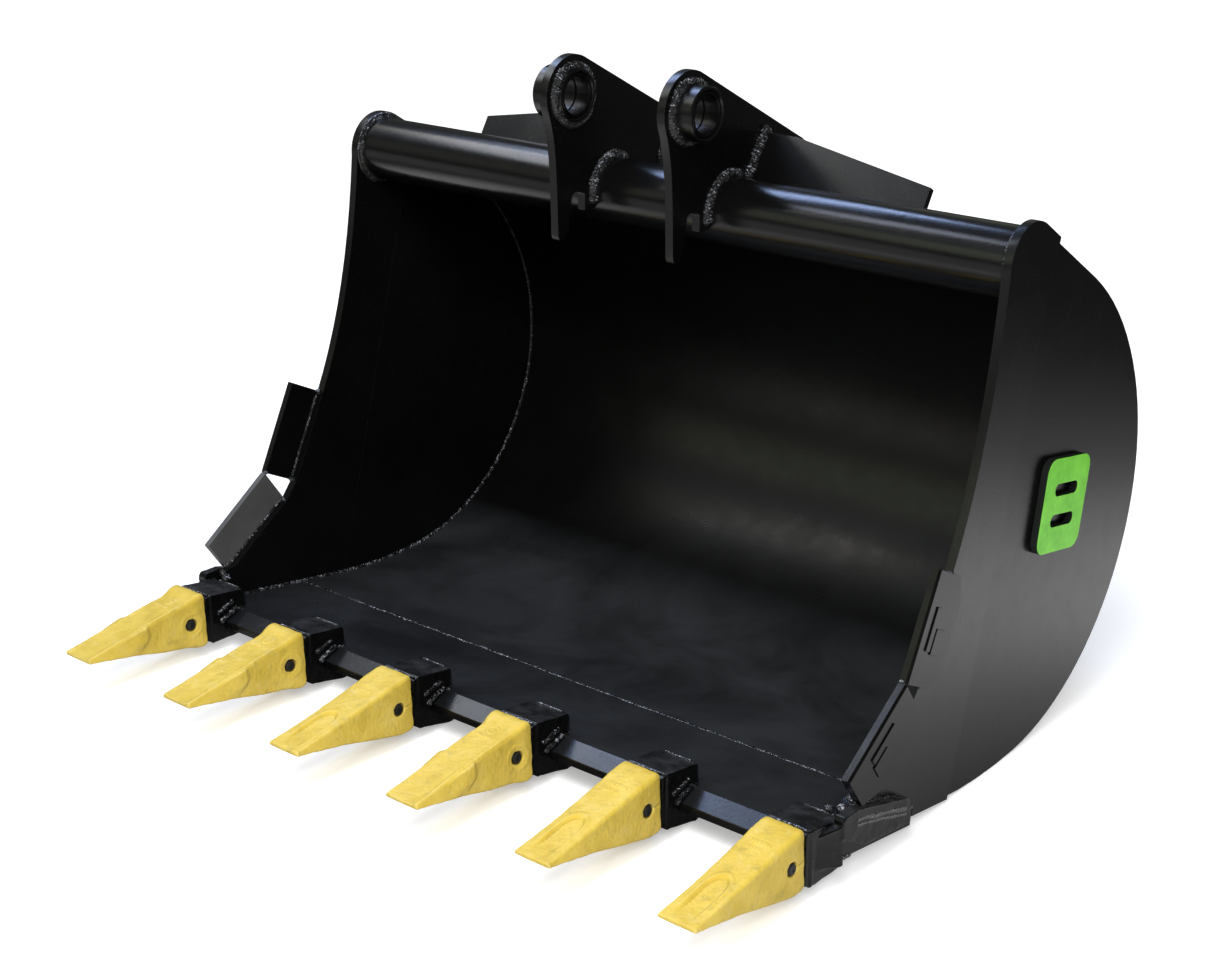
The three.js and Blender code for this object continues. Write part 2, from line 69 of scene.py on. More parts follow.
TUBE_CENTRE = np.array((221.0, 1068.0))
TUBE_RADIUS = 73.0
SEAM = (-112.0, 44.0)
LIP_ANGLE = math.radians(8.5)
LIP_BEVEL_START = -382.0
LIP_THICKNESS = 40.0
INNER_HALF_WIDTH = 868.0
HALF_WIDTH = 888.0
EAR_FACES = (146.0, 166.0)
ROOF_START = 262.0
ROOF_ANGLE = math.radians(31.7)
GUSSET_HEIGHT = 121.0
BOSS_ENDS = (132.0, 212.0)
BOSS_RADIUS = 58.0
BUSH_BORE = 40.0
TOOTH_BACK = -482.0
TOOTH_TIP = -805.0
TOOTH_AXIS = 89.0
PIN_Y = -522.0
PIN_HOLE_RADIUS = 15.0
TEETH = range(1, 7)
CHISEL_TEETH = (3, 5, 6)
CORNER_TEETH = (1, 6)
ADAPTER_HALF_WIDTH = 49.0
ADAPTER_END = -355.0
CORNER_STRAP_END = -160.0
CORNER_STRAP_FACE = 912.0
CUTTER_GRIND = 4.0
CUTTER_PAD_HEIGHT = 3.0

# ---- the frame's places


def box_mm(node):
    low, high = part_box(node)
    return np.array(low) / MM, np.array(high) / MM


def box_middle(node):
    low, high = box_mm(node)
    return (low + high) / 2


VIEW_SHIFT = box_middle("torque_tube")[1:] - TUBE_CENTRE


def to_frame(points, x=0.0):
    """Points (x, y, z) of the side view, moved x along the width, in the row frame, in metres."""
    return (np.asarray(points) + np.array([x, *VIEW_SHIFT])) * MM


def lip_height(y, above=0.0):
    """The height of the cutting edge's top face at y."""
    return SEAM[1] + math.tan(LIP_ANGLE) * (SEAM[0] - y) + above


def tooth_x(number):
    return box_middle(f"tooth_{number}")[0]


def side_outline(node, side):
    """The ordered outline (y, z) in the side view of a flat node's face at its right (+1) or left end."""
    mesh = NODES[node].data
    co = np.array([v.co for v in mesh.vertices]) / MM
    end = co[:, 0].max() if side > 0 else co[:, 0].min()
    at_end = np.abs(co[:, 0] - end) < 0.05
    key = [tuple(np.round(c[1:], 2)) for c in co]
    links = {}
    for polygon in mesh.polygons:
        ids = list(polygon.vertices)
        if all(at_end[i] for i in ids):
            continue
        for a, b in zip(ids, ids[1:] + ids[:1]):
            if at_end[a] and at_end[b] and key[a] != key[b]:
                links.setdefault(key[a], set()).add(key[b])
                links.setdefault(key[b], set()).add(key[a])
    loops = []
    left = set(links)
    while left:
        start = min(left)
        loop = [start]
        left.discard(start)
        while True:
            ahead = [p for p in links[loop[-1]] if p in left]
            if not ahead:
                break
            loop.append(ahead[0])
            left.discard(ahead[0])
        loops.append(np.array(loop) - VIEW_SHIFT)
    return max(loops, key=len)


# ---- node helpers for materials


class NodeTree:
    """A small wrapper that adds and links shader nodes."""

    def __init__(self, owner):
        owner.use_nodes = True
        self.tree = owner.node_tree
        self.tree.nodes.clear()

    def feed(self, socket, value):
        """Links an output to the socket, or sets its value."""
        if isinstance(value, bpy.types.NodeSocket):
            self.tree.links.new(value, socket)
        else:
            socket.default_value = value

    def node(self, kind, inputs=None, **settings):
        made = self.tree.nodes.new("ShaderNode" + kind)
        for key, value in settings.items():
            setattr(made, key, value)
        for key, value in (inputs or {}).items():
            self.feed(made.inputs[key], value)
        return made

    def math(self, operation, a, b=0.0):
        return self.node("Math", {0: a, 1: b}, operation=operation).outputs[0]

    def times(self, a, b):
        return self.math("MULTIPLY", a, b)

    def axes(self, vector):
        """The X, Y and Z outputs of a vector."""
        return self.node("SeparateXYZ", {0: vector}).outputs

    def noise(self, scale, detail=3.0, roughness=0.5, distortion=0.0):
        inputs = {"Vector": self.coords, "Scale": scale, "Detail": detail}
        inputs.update({"Roughness": roughness, "Distortion": distortion})
        return self.node("TexNoise", inputs).outputs["Fac"]

    def ramp(self, value, stops):
        """A colour ramp; stops are (position, grey or (r, g, b))."""
        made = self.node("ValToRGB", {"Fac": value})
        elements = made.color_ramp.elements
        while len(elements) < len(stops):
            elements.new(0.5)
        for element, (position, colour) in zip(elements, stops):
            element.position = position
            rgb = colour if isinstance(colour, tuple) else (colour,) * 3
            element.color = (*rgb, 1.0)
        return made.outputs["Color"]

    def mix(self, factor, a, b):
        made = self.node("Mix", {"Factor": factor}, data_type="RGBA")
        for socket, value in ((made.inputs[6], a), (made.inputs[7], b)):
            self.feed(socket, (*value, 1.0) if isinstance(value, tuple) else value)
        return made.outputs[2]

    def bump(self, height, strength, distance, normal=None):
        inputs = {"Height": height, "Strength": strength, "Distance": distance}
        if normal is not None:
            inputs["Normal"] = normal
        return self.node("Bump", inputs).outputs[0]


class Shader(NodeTree):
    """One material with a principled surface."""

    def __init__(self, name):
        self.material = bpy.data.materials.new(name)
        super().__init__(self.material)
        self.surface = self.node("BsdfPrincipled")
        self.node("OutputMaterial", {"Surface": self.surface.outputs[0]})
        self.geometry = self.node("NewGeometry").outputs
        self.coords = self.geometry["Position"]

    def set(self, socket, value):
        self.feed(self.surface.inputs[socket], value)


def black_paint(name, base=0.003, rough=0.24, peel=0.25, dust_and_top_light=0.0, gloss=0.5):
    """Sprayed semi-gloss black with orange peel and, on what faces up, grey dust with painted light from
    above, and nibs.
    """
    s = Shader(f"black_paint_{name}")
    colour = s.ramp(s.noise(5.0, 5.0, 0.6), [(0.3, base * 0.7), (0.7, base * 1.4)])
    if dust_and_top_light:
        # What faces up is lightened grey: partly settled dust, partly painted light from above.
        faces_up = s.ramp(s.axes(s.geometry["Normal"])["Z"], [(0.86, 0.0), (0.985, 1.0)])
        cloud = s.ramp(s.noise(3.5, 5.0, 0.6, distortion=0.6), [(0.34, 0.35), (0.66, 1.0)])
        grey = (0.024 * dust_and_top_light, 0.026 * dust_and_top_light, 0.029 * dust_and_top_light)
        colour = s.mix(s.times(faces_up, cloud), colour, grey)
        nibs = s.node("TexVoronoi", {"Vector": s.coords, "Scale": 150.0}, feature="F1")
        dots = s.ramp(nibs.outputs["Distance"], [(0.05, 1.0), (0.12, 0.0)])
        patches = s.times(faces_up, s.ramp(s.noise(6.0, 4.0), [(0.46, 0.0), (0.66, 0.5)]))
        colour = s.mix(s.times(dots, patches), colour, (0.12, 0.12, 0.13))
    s.set("Base Color", colour)
    s.set("Roughness", s.ramp(s.noise(16.0, 4.0, 0.65), [(0.3, rough * 0.88), (0.75, rough * 1.18)]))
    s.set("Specular IOR Level", gloss)
    wave = s.bump(s.noise(150.0, 2.0), peel, 0.0005)
    s.set("Normal", s.bump(s.noise(420.0, 2.0), peel * 0.5, 0.0002, wave))
    return s.material


def weld_paint(name):
    """Glossy paint run over rough weld metal, with pin-point glints painted into its colour as light grey
    specks, most on the faces that look up.
    """
    s = Shader(name)
    upper = s.ramp(s.axes(s.geometry["Normal"])["Z"], [(0.0, 0.12), (0.65, 1.0)])
    # Painted glints: light grey specks in the base colour, stronger on upward faces as if lit from above.
    painted_glints = s.ramp(s.noise(230.0, 4.0, 0.75, distortion=0.8), [(0.53, 0.0), (0.60, 1.0)])
    sparse = s.times(painted_glints, s.ramp(s.noise(60.0, 3.0), [(0.40, 0.1), (0.56, 1.0)]))
    dark = s.ramp(s.noise(140.0, 3.0), [(0.45, 0.002), (0.75, 0.012)])
    s.set("Base Color", s.mix(s.times(sparse, upper), dark, (0.50, 0.52, 0.58)))
    s.set("Roughness", s.ramp(s.noise(130.0, 3.0), [(0.35, 0.06), (0.75, 0.22)]))
    s.set("Specular IOR Level", 0.8)
    s.set("Coat Weight", 0.8)
    s.set("Coat Roughness", 0.05)
    coarse = s.bump(s.noise(190.0, 4.0, 0.65), 0.9, 0.0024)
    s.set("Normal", s.bump(s.noise(1100.0, 2.0), 0.35, 0.0004, coarse))
    return s.material


def cast_black(name):
    """Wet-looking black paint on sand-cast steel, dusty on top."""
    s = Shader(name)
    faces_up = s.ramp(s.axes(s.geometry["Normal"])["Z"], [(0.7, 0.0), (0.97, 1.0)])
    cloud = s.ramp(s.noise(22.0, 5.0, 0.65), [(0.4, 0.25), (0.7, 1.0)])
    bare = s.ramp(s.noise(60.0, 5.0, 0.65), [(0.4, 0.002), (0.8, 0.006)])
    s.set("Base Color", s.mix(s.times(faces_up, cloud), bare, (0.036, 0.037, 0.040)))
    s.set("Roughness", s.ramp(s.noise(45.0, 4.0), [(0.35, 0.16), (0.7, 0.34)]))
    s.set("Specular IOR Level", 0.45)
    grain = s.bump(s.noise(330.0, 4.0, 0.7), 0.45, 0.0007)
    s.set("Normal", s.bump(s.noise(70.0, 3.0), 0.35, 0.0014, grain))
    return s.material


def tooth_yellow(name):
    """Yellow paint on a rough casting, with thin chalky patches of wear, grime, paler edges and painted
    shade in the hollows.
    """
    s = Shader(name)
    colour = s.ramp(s.noise(16.0, 6.0, 0.65), [
        (0.28, (0.60, 0.425, 0.05)),
        (0.5, (0.71, 0.51, 0.075)),
        (0.74, (0.77, 0.58, 0.11)),
    ])
    stain = s.ramp(s.noise(38.0, 5.0, 0.7), [(0.56, 0.0), (0.74, 1.0)])
    colour = s.mix(s.times(stain, 0.45), colour, (0.25, 0.21, 0.06))
    chalk = s.ramp(s.noise(24.0, 4.0, 0.6, distortion=1.5), [(0.57, 0.0), (0.72, 1.0)])
    colour = s.mix(s.times(chalk, 0.35), colour, (0.76, 0.63, 0.26))
    edge = s.ramp(s.geometry["Pointiness"], [(0.515, 0.0), (0.57, 1.0)])
    colour = s.mix(s.times(edge, 0.5), colour, (0.80, 0.66, 0.28))
    # Painted shade: the hollows are darkened towards a deep yellow.
    hollow_shade = s.ramp(s.geometry["Pointiness"], [(0.44, 1.0), (0.492, 0.0)])
    colour = s.mix(s.times(hollow_shade, 0.55), colour, (0.28, 0.21, 0.04))
    s.set("Base Color", colour)
    s.set("Roughness", s.ramp(s.noise(45.0, 4.0), [(0.3, 0.40), (0.7, 0.60)]))
    grain = s.bump(s.noise(420.0, 4.0, 0.7), 0.4, 0.0007)
    s.set("Normal", s.bump(s.noise(75.0, 4.0, 0.6), 0.4, 0.0018, grain))
    return s.material


def dark_steel(name, grey, rough):
    s = Shader(name)
    s.set("Base Color", s.ramp(s.noise(60.0, 4.0), [(0.3, grey * 0.7), (0.7, grey * 1.3)]))
    s.set("Metallic", 0.5)
    s.set("Roughness", s.ramp(s.noise(200.0, 3.0), [(0.3, rough * 0.8), (0.7, rough * 1.3)]))
    s.set("Normal", s.bump(s.noise(500.0, 3.0), 0.25, 0.0004))
    return s.material


def badge_green(name):
    """Green sprayed on the outer face only; the cut edges stay black."""
    s = Shader(name)
    grain = s.times(s.math("SUBTRACT", s.noise(160.0), 0.5), 0.5)
    ragged = s.math("ADD", s.axes(s.geometry["True Normal"])["X"], grain)
    front = s.ramp(ragged, [(0.55, 0.0), (0.7, 1.0)])
    green = s.ramp(s.noise(26.0, 5.0, 0.65), [(0.3, (0.16, 0.68, 0.02)), (0.7, (0.27, 0.90, 0.05))])
    s.set("Base Color", s.mix(front, (0.012, 0.014, 0.012), green))
    s.set("Roughness", 0.42)
    s.set("Normal", s.bump(s.noise(200.0, 3.0), 0.3, 0.0006))
    return s.material


MATERIALS = {
    "shell": black_paint("shell", 0.0028, 0.30, 0.3, dust_and_top_light=1.3),
    "lip": black_paint("lip", 0.003, 0.26, 0.3, dust_and_top_light=1.1),
    "plate": black_paint("plate", 0.0026, 0.26, 0.15),
    "rear_plate": black_paint("rear_plate", 0.0026, 0.26, 0.15, gloss=0.44),
    "cutter": black_paint("cutter", 0.0026, 0.24, 0.15, gloss=0.38),
    # Light grey paint for the lower left cutter: a painted reflection of the bright light on its faces.
    "painted_sheen": black_paint("painted_sheen", 0.090, 0.5, 0.3),
    "tube": black_paint("tube", 0.003, 0.20, 0.35),
    "weld": weld_paint("black_paint_weld"),
    "adapter": cast_black("black_paint_casting"),
    "tooth": tooth_yellow("yellow_paint_casting"),
    "pin": dark_steel("lock_pin_steel", 0.035, 0.38),
    "bush": dark_steel("bush_steel", 0.004, 0.30),
    "badge": badge_green("badge_paint"),
}

# ---- mesh helpers


def finish_piece(piece, look, *replaces, body=BODY):
    """Gives a piece its material and body, and hides the CAD nodes that it stands in for."""
    piece.data.materials.clear()
    piece.data.materials.append(MATERIALS[look])
    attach(piece, body)
    if replaces:
        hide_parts(*replaces)


def soften(mesh, angle):
    """Smooth shading, with edges sharper than angle kept sharp."""
    mesh.shade_smooth()
    mesh.set_sharp_from_angle(angle=math.radians(angle))


def add_object(name, data):
    made = bpy.data.objects.new(name, data)
    SCENE.collection.objects.link(made)
    return made


def new_object(name, vertices, faces):
    mesh = bpy.data.meshes.new(name)
    mesh.from_pydata([tuple(v) for v in vertices], [], [tuple(f) for f in faces])
    mesh.validate()
    return add_object(name, mesh)


@contextmanager
def editing(mesh):
    """The mesh as a bmesh; its faces point outwards again afterwards."""
    bm = bmesh.new()
    bm.from_mesh(mesh)
    yield bm
    bmesh.ops.recalc_face_normals(bm, faces=bm.faces)
    bm.to_mesh(mesh)
    bm.free()


def recalculate(mesh):
    with editing(mesh):
        pass


def object_from(bm, name):
    """Turns a finished bmesh into a new object."""
    mesh = bpy.data.meshes.new(name)
    bm.to_mesh(mesh)
    bm.free()
    return add_object(name, mesh)


def strip_faces(ring_count, rows):
    """Quads that join ring_count rings of rows vertices, one ring after the other."""
    faces = []
    for i in range(ring_count - 1):
        for k in range(rows):
            j = (k + 1) % rows
            faces.append((i * rows + k, i * rows + j, (i + 1) * rows + j, (i + 1) * rows + k))
    return faces


def join_rings(bm, rings):
    """Faces round and between rings of bmesh vertices, with a cap at both ends."""
    for low, high in zip(rings, rings[1:]):
        for k in range(len(low)):
            j = (k + 1) % len(low)
            bm.faces.new((low[k], low[j], high[j], high[k]))
    bm.faces.new(rings[0])
    bm.faces.new(rings[-1])


def modify(piece, kind, **settings):
    made = piece.modifiers.new(kind.lower(), kind)
    for key, value in settings.items():
        setattr(made, key, value)


def add_bevel(piece, width_mm):
    """Rounded edges between faces that stay flat."""
    corner = math.radians(28.0)
    modify(piece, "BEVEL", width=width_mm * MM, segments=2, limit_method="ANGLE", angle_limit=corner)
    modify(piece, "WEIGHTED_NORMAL", weight=100)


def apply_modifiers(piece):
    graph = bpy.context.evaluated_depsgraph_get()
    mesh = bpy.data.meshes.new_from_object(piece.evaluated_get(graph))
    piece.modifiers.clear()
    piece.data = mesh


def lathe(name, centre, profile, segments=96):
    """A ring about the x axis through centre (y, z); the profile is a closed loop of (radius, x)."""
    count = len(profile)
    vertices = []
    for k in range(segments):
        a = 2 * math.pi * k / segments
        for r, x in profile:
            vertices.append(to_frame((x, centre[0] + r * math.cos(a), centre[1] + r * math.sin(a))))
    faces = []
    for k in range(segments):
        ahead = (k + 1) % segments
        for i in range(count):
            j = (i + 1) % count
            faces.append((k * count + i, k * count + j, ahead * count + j, ahead * count + i))
    piece = new_object(name, vertices, faces)
    recalculate(piece.data)
    soften(piece.data, 30.0)
    return piece


# ---- weld beads

WELD_STEP = 1.6
WELD_ROWS = 10


def unit(vectors):
    return vectors / np.linalg.norm(vectors, axis=-1, keepdims=True)


def resample(points, step):
    """The line at even steps, and the length run at each."""
    points = np.asarray(points, float)
    lengths = np.concatenate([[0.0], np.cumsum(np.linalg.norm(np.diff(points, axis=0), axis=1))])
    count = max(3, int(lengths[-1] / step))
    at = np.linspace(0.0, lengths[-1], count + 1)
    return np.stack([np.interp(at, lengths, points[:, k]) for k in range(points.shape[1])], axis=1), at


def smooth_random(rng, count, span):
    """Random values from -1 to 1 that change over about span samples."""
    knots = rng.uniform(-1.0, 1.0, int(count / span) + 4)
    return np.interp(np.arange(count) / span, np.arange(len(knots)), knots)


def bead(points, ups, radius, seed, pitch=7.0, flatten=0.8, wander=0.12):
    """Vertices and faces of one weld run along points of the side view; ups point off the metal."""
    rows = WELD_ROWS
    line, at = resample(np.hstack([points, ups]), WELD_STEP)
    centre = line[:, :3]
    ahead = unit(np.gradient(centre, axis=0))
    across = unit(np.cross(ahead, unit(line[:, 3:])))
    up = np.cross(across, ahead)
    rng = np.random.default_rng(seed)
    count = len(centre)
    fat = 1.0 + 0.16 * smooth_random(rng, count, 14.0) + 0.06 * smooth_random(rng, count, 4.0)
    drift = wander * radius * smooth_random(rng, count, 20.0)
    stretch = at / pitch + 0.35 * smooth_random(rng, count, 30.0)
    ends = np.clip(np.minimum(at, at[-1] - at) / (radius * 0.8), 0.0, 1.0)
    taper = np.sqrt(1.0 - (1.0 - ends) ** 2) * 0.96 + 0.04
    vertices = []
    for k in range(rows):
        a = 2 * math.pi * k / rows
        phase = stretch - 0.35 * math.cos(a) ** 2 + 0.35
        ripple = np.abs(np.sin(math.pi * phase)) ** 0.7
        pits = 0.05 * rng.uniform(-1.0, 1.0, count)
        reach = radius * taper * fat * (0.84 + 0.2 * ripple + pits)
        ring = centre + across * (np.sin(a) * reach + drift)[:, None]
        ring = ring + up * (math.cos(a) * reach * flatten)[:, None]
        vertices.append(ring)
    vertices = np.stack(vertices, axis=1).reshape(-1, 3)
    faces = strip_faces(count, rows)
    faces.append(tuple(range(rows))[::-1])
    faces.append(tuple((count - 1) * rows + k for k in range(rows)))
    return vertices, faces


class WeldSet:
    """Weld runs that make one piece."""

    def __init__(self, name, seed):
        self.name = name
        self.seed = seed
        self.vertices = []
        self.faces = []
        self.total = 0

    def add(self, vertices, faces):
        self.vertices.append(to_frame(vertices))
        self.faces.extend(tuple(i + self.total for i in face) for face in faces)
        self.total += len(vertices)

    def run(self, points, ups, radius, **options):
        self.seed += 1
        points = np.asarray(points, float)
        ups = np.broadcast_to(np.asarray(ups, float), points.shape)
        self.add(*bead(points, ups, radius, self.seed, **options))

    def line(self, start, end, up, radius, **options):
        points = np.linspace(np.array(start, float), np.array(end, float), 8)
        self.run(points, up, radius, **options)

    def across(self, middle, reach, spot, up, radius, **options):
        """A straight run along x at the side-view point spot, reach long on either side of middle."""
        self.line((middle - reach, *spot), (middle + reach, *spot), up, radius, **options)

    def ring(self, x, centre, radius, bead_radius, facing, start=0.0, end=360.0, lean=0.7, **options):
        """A run round (y, z) centre at width x; facing is +1 or -1 for the way its face looks along x."""
        angles = np.radians(np.linspace(start, end, max(8, int(abs(end - start) / 5))))
        spokes = np.stack([np.zeros_like(angles), np.cos(angles), np.sin(angles)], axis=1)
        points = spokes * radius + np.array([x, *centre])
        self.run(points, spokes * lean + np.array([facing, 0.0, 0.0]), bead_radius, **options)

    def blob(self, point, size, squash=(1.0, 1.0, 1.0)):
        """A lump of weld metal where a run starts or stops."""
        self.seed += 1
        rng = np.random.default_rng(self.seed)
        bm = bmesh.new()
        bmesh.ops.create_icosphere(bm, subdivisions=3, radius=1.0)
        waves = rng.uniform(-3.0, 3.0, (5, 3))
        phases = rng.uniform(0.0, 6.28, 5)
        for v in bm.verts:
            ripple = sum(math.sin(float(np.dot(w, v.co)) + p) for w, p in zip(waves, phases))
            v.co = v.co * (1.0 + 0.07 * ripple)
        vertices = np.array([v.co for v in bm.verts]) * np.array(squash) * size + np.array(point, float)
        self.add(vertices, [[v.index for v in f.verts] for f in bm.faces])
        bm.free()

    def build(self):
        piece = new_object(self.name, np.concatenate(self.vertices), self.faces)
        recalculate(piece.data)
        soften(piece.data, 60.0)
        finish_piece(piece, "weld")


def split_shell_outline():
    """The inside and outside lines of the shell, each from the seam to the torque tube."""
    loop = side_outline("shell_wrapper", 1)
    front = np.argsort(loop[:, 0])[:2]
    top = front[np.argmax(loop[front, 1])]
    bottom = front[np.argmin(loop[front, 1])]
    loop = np.roll(loop, -top, axis=0)
    bottom = (bottom - top) % len(loop)
    if bottom == 1:
        loop = np.roll(loop[::-1], 1, axis=0)
    clear = np.linalg.norm(loop - TUBE_CENTRE, axis=1) > TUBE_RADIUS + 1.0
    stop = int(np.argmin(clear))
    resume = len(loop) - int(np.argmin(clear[::-1]))
    return loop[: stop + 1], loop[resume - 1:][::-1]


SHELL_INSIDE, SHELL_OUTSIDE = split_shell_outline()
ARM_PIN = tuple(box_middle("arm_pin_bush_right")[1:] - VIEW_SHIFT)
LINK_PIN = tuple(box_middle("link_pin_bush_right")[1:] - VIEW_SHIFT)


def with_x(points, x):
    points = np.asarray(points, float)
    return np.hstack([np.full((len(points), 1), x), points])


def normals_of(points, side):
    """Unit normals of a (y, z) line on its left (+1) or right (-1)."""
    d = unit(np.gradient(np.asarray(points, float), axis=0))
    return np.stack([-d[:, 1], d[:, 0]], axis=1) * side


def weld_body_seams():
    """Side walls to shell and cutting edge, inside and outside, and the seam across the floor."""
    seams = WeldSet("weld_body_seams", 100)
    lip = np.array([[-338.0, lip_height(-338.0)], [SEAM[0], SEAM[1]]])
    for _, s in SIDES:
        wall = s * INNER_HALF_WIDTH
        inward = with_x(normals_of(SHELL_INSIDE, 1), -s)
        seams.run(with_x(SHELL_INSIDE, wall), inward, 6.0, pitch=8.0)
        seams.run(with_x(lip, wall), (-s, 0.0, 1.0), 6.0)
        outward = with_x(normals_of(SHELL_OUTSIDE, -1), -s)
        seams.run(with_x(SHELL_OUTSIDE, wall - s * 1.0), outward, 4.5, pitch=8.0)
        seams.run(with_x(lip, s * HALF_WIDTH), (s, 0.0, 0.6), 4.0)
    reach = INNER_HALF_WIDTH - 4.0
    normal = (0.0, math.sin(LIP_ANGLE), math.cos(LIP_ANGLE))
    floor_seam = (SEAM[0], SEAM[1] - 1.9)
    seams.across(0.0, reach, floor_seam, normal, 5.0, flatten=0.62, pitch=14.0, wander=0.45)
    seams.across(0.0, reach, (SEAM[0] - 3.0, SEAM[1] - 26.0), (0.0, 0.3, -1.0), 9.0, pitch=9.0)
    seams.build()


def ear_faces(side):
    """The x of both faces of the ear on that side, each with the way it looks along x."""
    return (EAR_FACES[0] * side, -side), (EAR_FACES[1] * side, side)


def weld_tube():
    """Rings at the tube's ends and ears, and its two long seams to the shell."""
    welds = WeldSet("weld_torque_tube", 200)
    for _, s in SIDES:
        wall = s * INNER_HALF_WIDTH
        welds.ring(wall - s * 1.0, TUBE_CENTRE, TUBE_RADIUS + 1.0, 8.5, -s, pitch=6.0)
        welds.ring(wall, TUBE_CENTRE, TUBE_RADIUS + 9.0, 4.0, -s, 20.0, 250.0, pitch=6.0)
        for x, facing in ear_faces(s):
            welds.ring(x, TUBE_CENTRE, TUBE_RADIUS + 3.0, 15.0, facing, 58.0, 194.0,
                       lean=0.5, pitch=6.5, wander=0.2)
    reach = INNER_HALF_WIDTH - 5.0
    for line, lift in ((SHELL_OUTSIDE, 0.0), (SHELL_INSIDE, -2.0)):
        away = unit(line[-1] - TUBE_CENTRE)
        spot = TUBE_CENTRE + away * (TUBE_RADIUS + 1.0 + lift)
        welds.across(0.0, reach, spot, (0.0, *away), 7.0, pitch=9.0, flatten=0.7)
    welds.build()


def ear_foot(x):
    """The part of an ear's outline that stands on the shell's roof."""
    roof = []
    for p in side_outline("ear_right", 1):
        at_corner = np.min(np.linalg.norm(SHELL_OUTSIDE - p, axis=1)) < 4.0
        if (at_corner or 0 < p[0] - ROOF_START < 400.0) and distance_to_line(p, SHELL_OUTSIDE) < 1.5:
            roof.append(p)
    return with_x(sorted(roof, key=lambda p: p[0]), x)


def distance_to_line(point, line):
    a, b = line[:-1], line[1:]
    d = b - a
    t = np.clip(np.sum((point - a) * d, axis=1) / np.sum(d * d, axis=1), 0.0, 1.0)
    return np.min(np.linalg.norm(a + d * t[:, None] - point, axis=1))


def weld_ears():
    """Ear feet on the roof, and the collars round the pivot bosses."""
    welds = WeldSet("weld_ears", 300)
    for _, s in SIDES:
        for x, facing in ear_faces(s):
            welds.run(ear_foot(x), (facing, 0.5, 0.8), 6.5)
            for pin in (ARM_PIN, LINK_PIN):
                welds.ring(x, pin, BOSS_RADIUS + 3.0, 13.0, facing, lean=0.5, pitch=6.0, wander=0.2)
    welds.build()


def weld_gussets():
    """Upright runs against the ears and foot runs on both sides of each gusset."""
    welds = WeldSet("weld_gussets", 400)
    tip = box_mm("gusset_right")[1][0]
    ear = EAR_FACES[1] + 3.0
    up = np.array([math.sin(ROOF_ANGLE), math.cos(ROOF_ANGLE)])
    down = np.array([math.cos(ROOF_ANGLE), -math.sin(ROOF_ANGLE)])
    tangent = TUBE_CENTRE + up * TUBE_RADIUS
    front_foot = tangent + down * 22.0
    back_foot = tangent + down * 36.0
    for _, s in SIDES:
        for foot, lean in ((front_foot, -down), (back_foot, down)):
            spot = foot + up
            end = (s * tip * 0.995, *spot)
            welds.line((s * (ear + 3.0), *spot), end, (0.0, *(up + lean)), 6.0, wander=0.3)
            top = foot + up * GUSSET_HEIGHT
            start = foot + up * 6.0
            welds.line((s * ear, *start), (s * ear, *top), (s, *lean), 14.0, pitch=6.5, wander=0.25)
            welds.blob((s * (ear + 1.0), *(top - up * 3.0)), 12.0, (1.1, 1.0, 1.2))
    welds.build()


def weld_adapters():
    """Runs round each adapter where it sits on the cutting edge."""
    welds = WeldSet("weld_adapters", 500)
    low_run = [[-440.0, 68.0], [-432.0, 77.0], [-386.0, 91.0]]
    high_run = [[-450.0, 94.0], [-398.0, 110.0]]
    knee = [LIP_BEVEL_START, lip_height(LIP_BEVEL_START)]
    top = [ADAPTER_END - 18.0, lip_height(ADAPTER_END - 18.0)]
    rear = [ADAPTER_END + 1.0, lip_height(ADAPTER_END)]
    brow = [ADAPTER_END - 13.0, lip_height(ADAPTER_END - 13.0, 47.0)]
    crest = [-469.0, lip_height(-470.0, 47.0)]
    leg_front = [-420.0, lip_height(-420.0) - LIP_THICKNESS - 1.5]
    leg_back = [-332.0, lip_height(-332.0) - LIP_THICKNESS - 1.0]
    half = ADAPTER_HALF_WIDTH - 16.0
    for number in TEETH:
        middle = tooth_x(number)
        for s in (-1.0, 1.0):
            x = middle + s * ADAPTER_HALF_WIDTH
            outer = abs(x) > INNER_HALF_WIDTH
            if not outer:
                welds.run(with_x(low_run, x + s * 1.5), (s, -0.3, 0.6), 6.5, pitch=6.0, wander=0.25)
            welds.line((x, *leg_front), (x, *leg_back), (s, 0.0, -1.0), 6.0)
            if not outer:
                welds.run(with_x(high_run, x + s * 0.5), (s, -0.2, 0.4), 5.5, pitch=6.0, wander=0.3)
                welds.line((x, *knee), (x, *top), (s, 0.0, 0.9), 7.5)
                welds.line((x, *top), (middle + s * half, *rear), (s, 1.0, 1.0), 7.5)
        welds.across(middle, half, rear, (0.0, 1.0, 1.0), 7.5)
        welds.across(middle, half + 12.0, crest, (0.0, 0.0, 1.0), 3.4, wander=0.9, pitch=5.0)
        welds.across(middle, half + 2.0, brow, (0.0, 0.5, 1.0), 3.0, wander=0.9, pitch=4.0)
    welds.build()


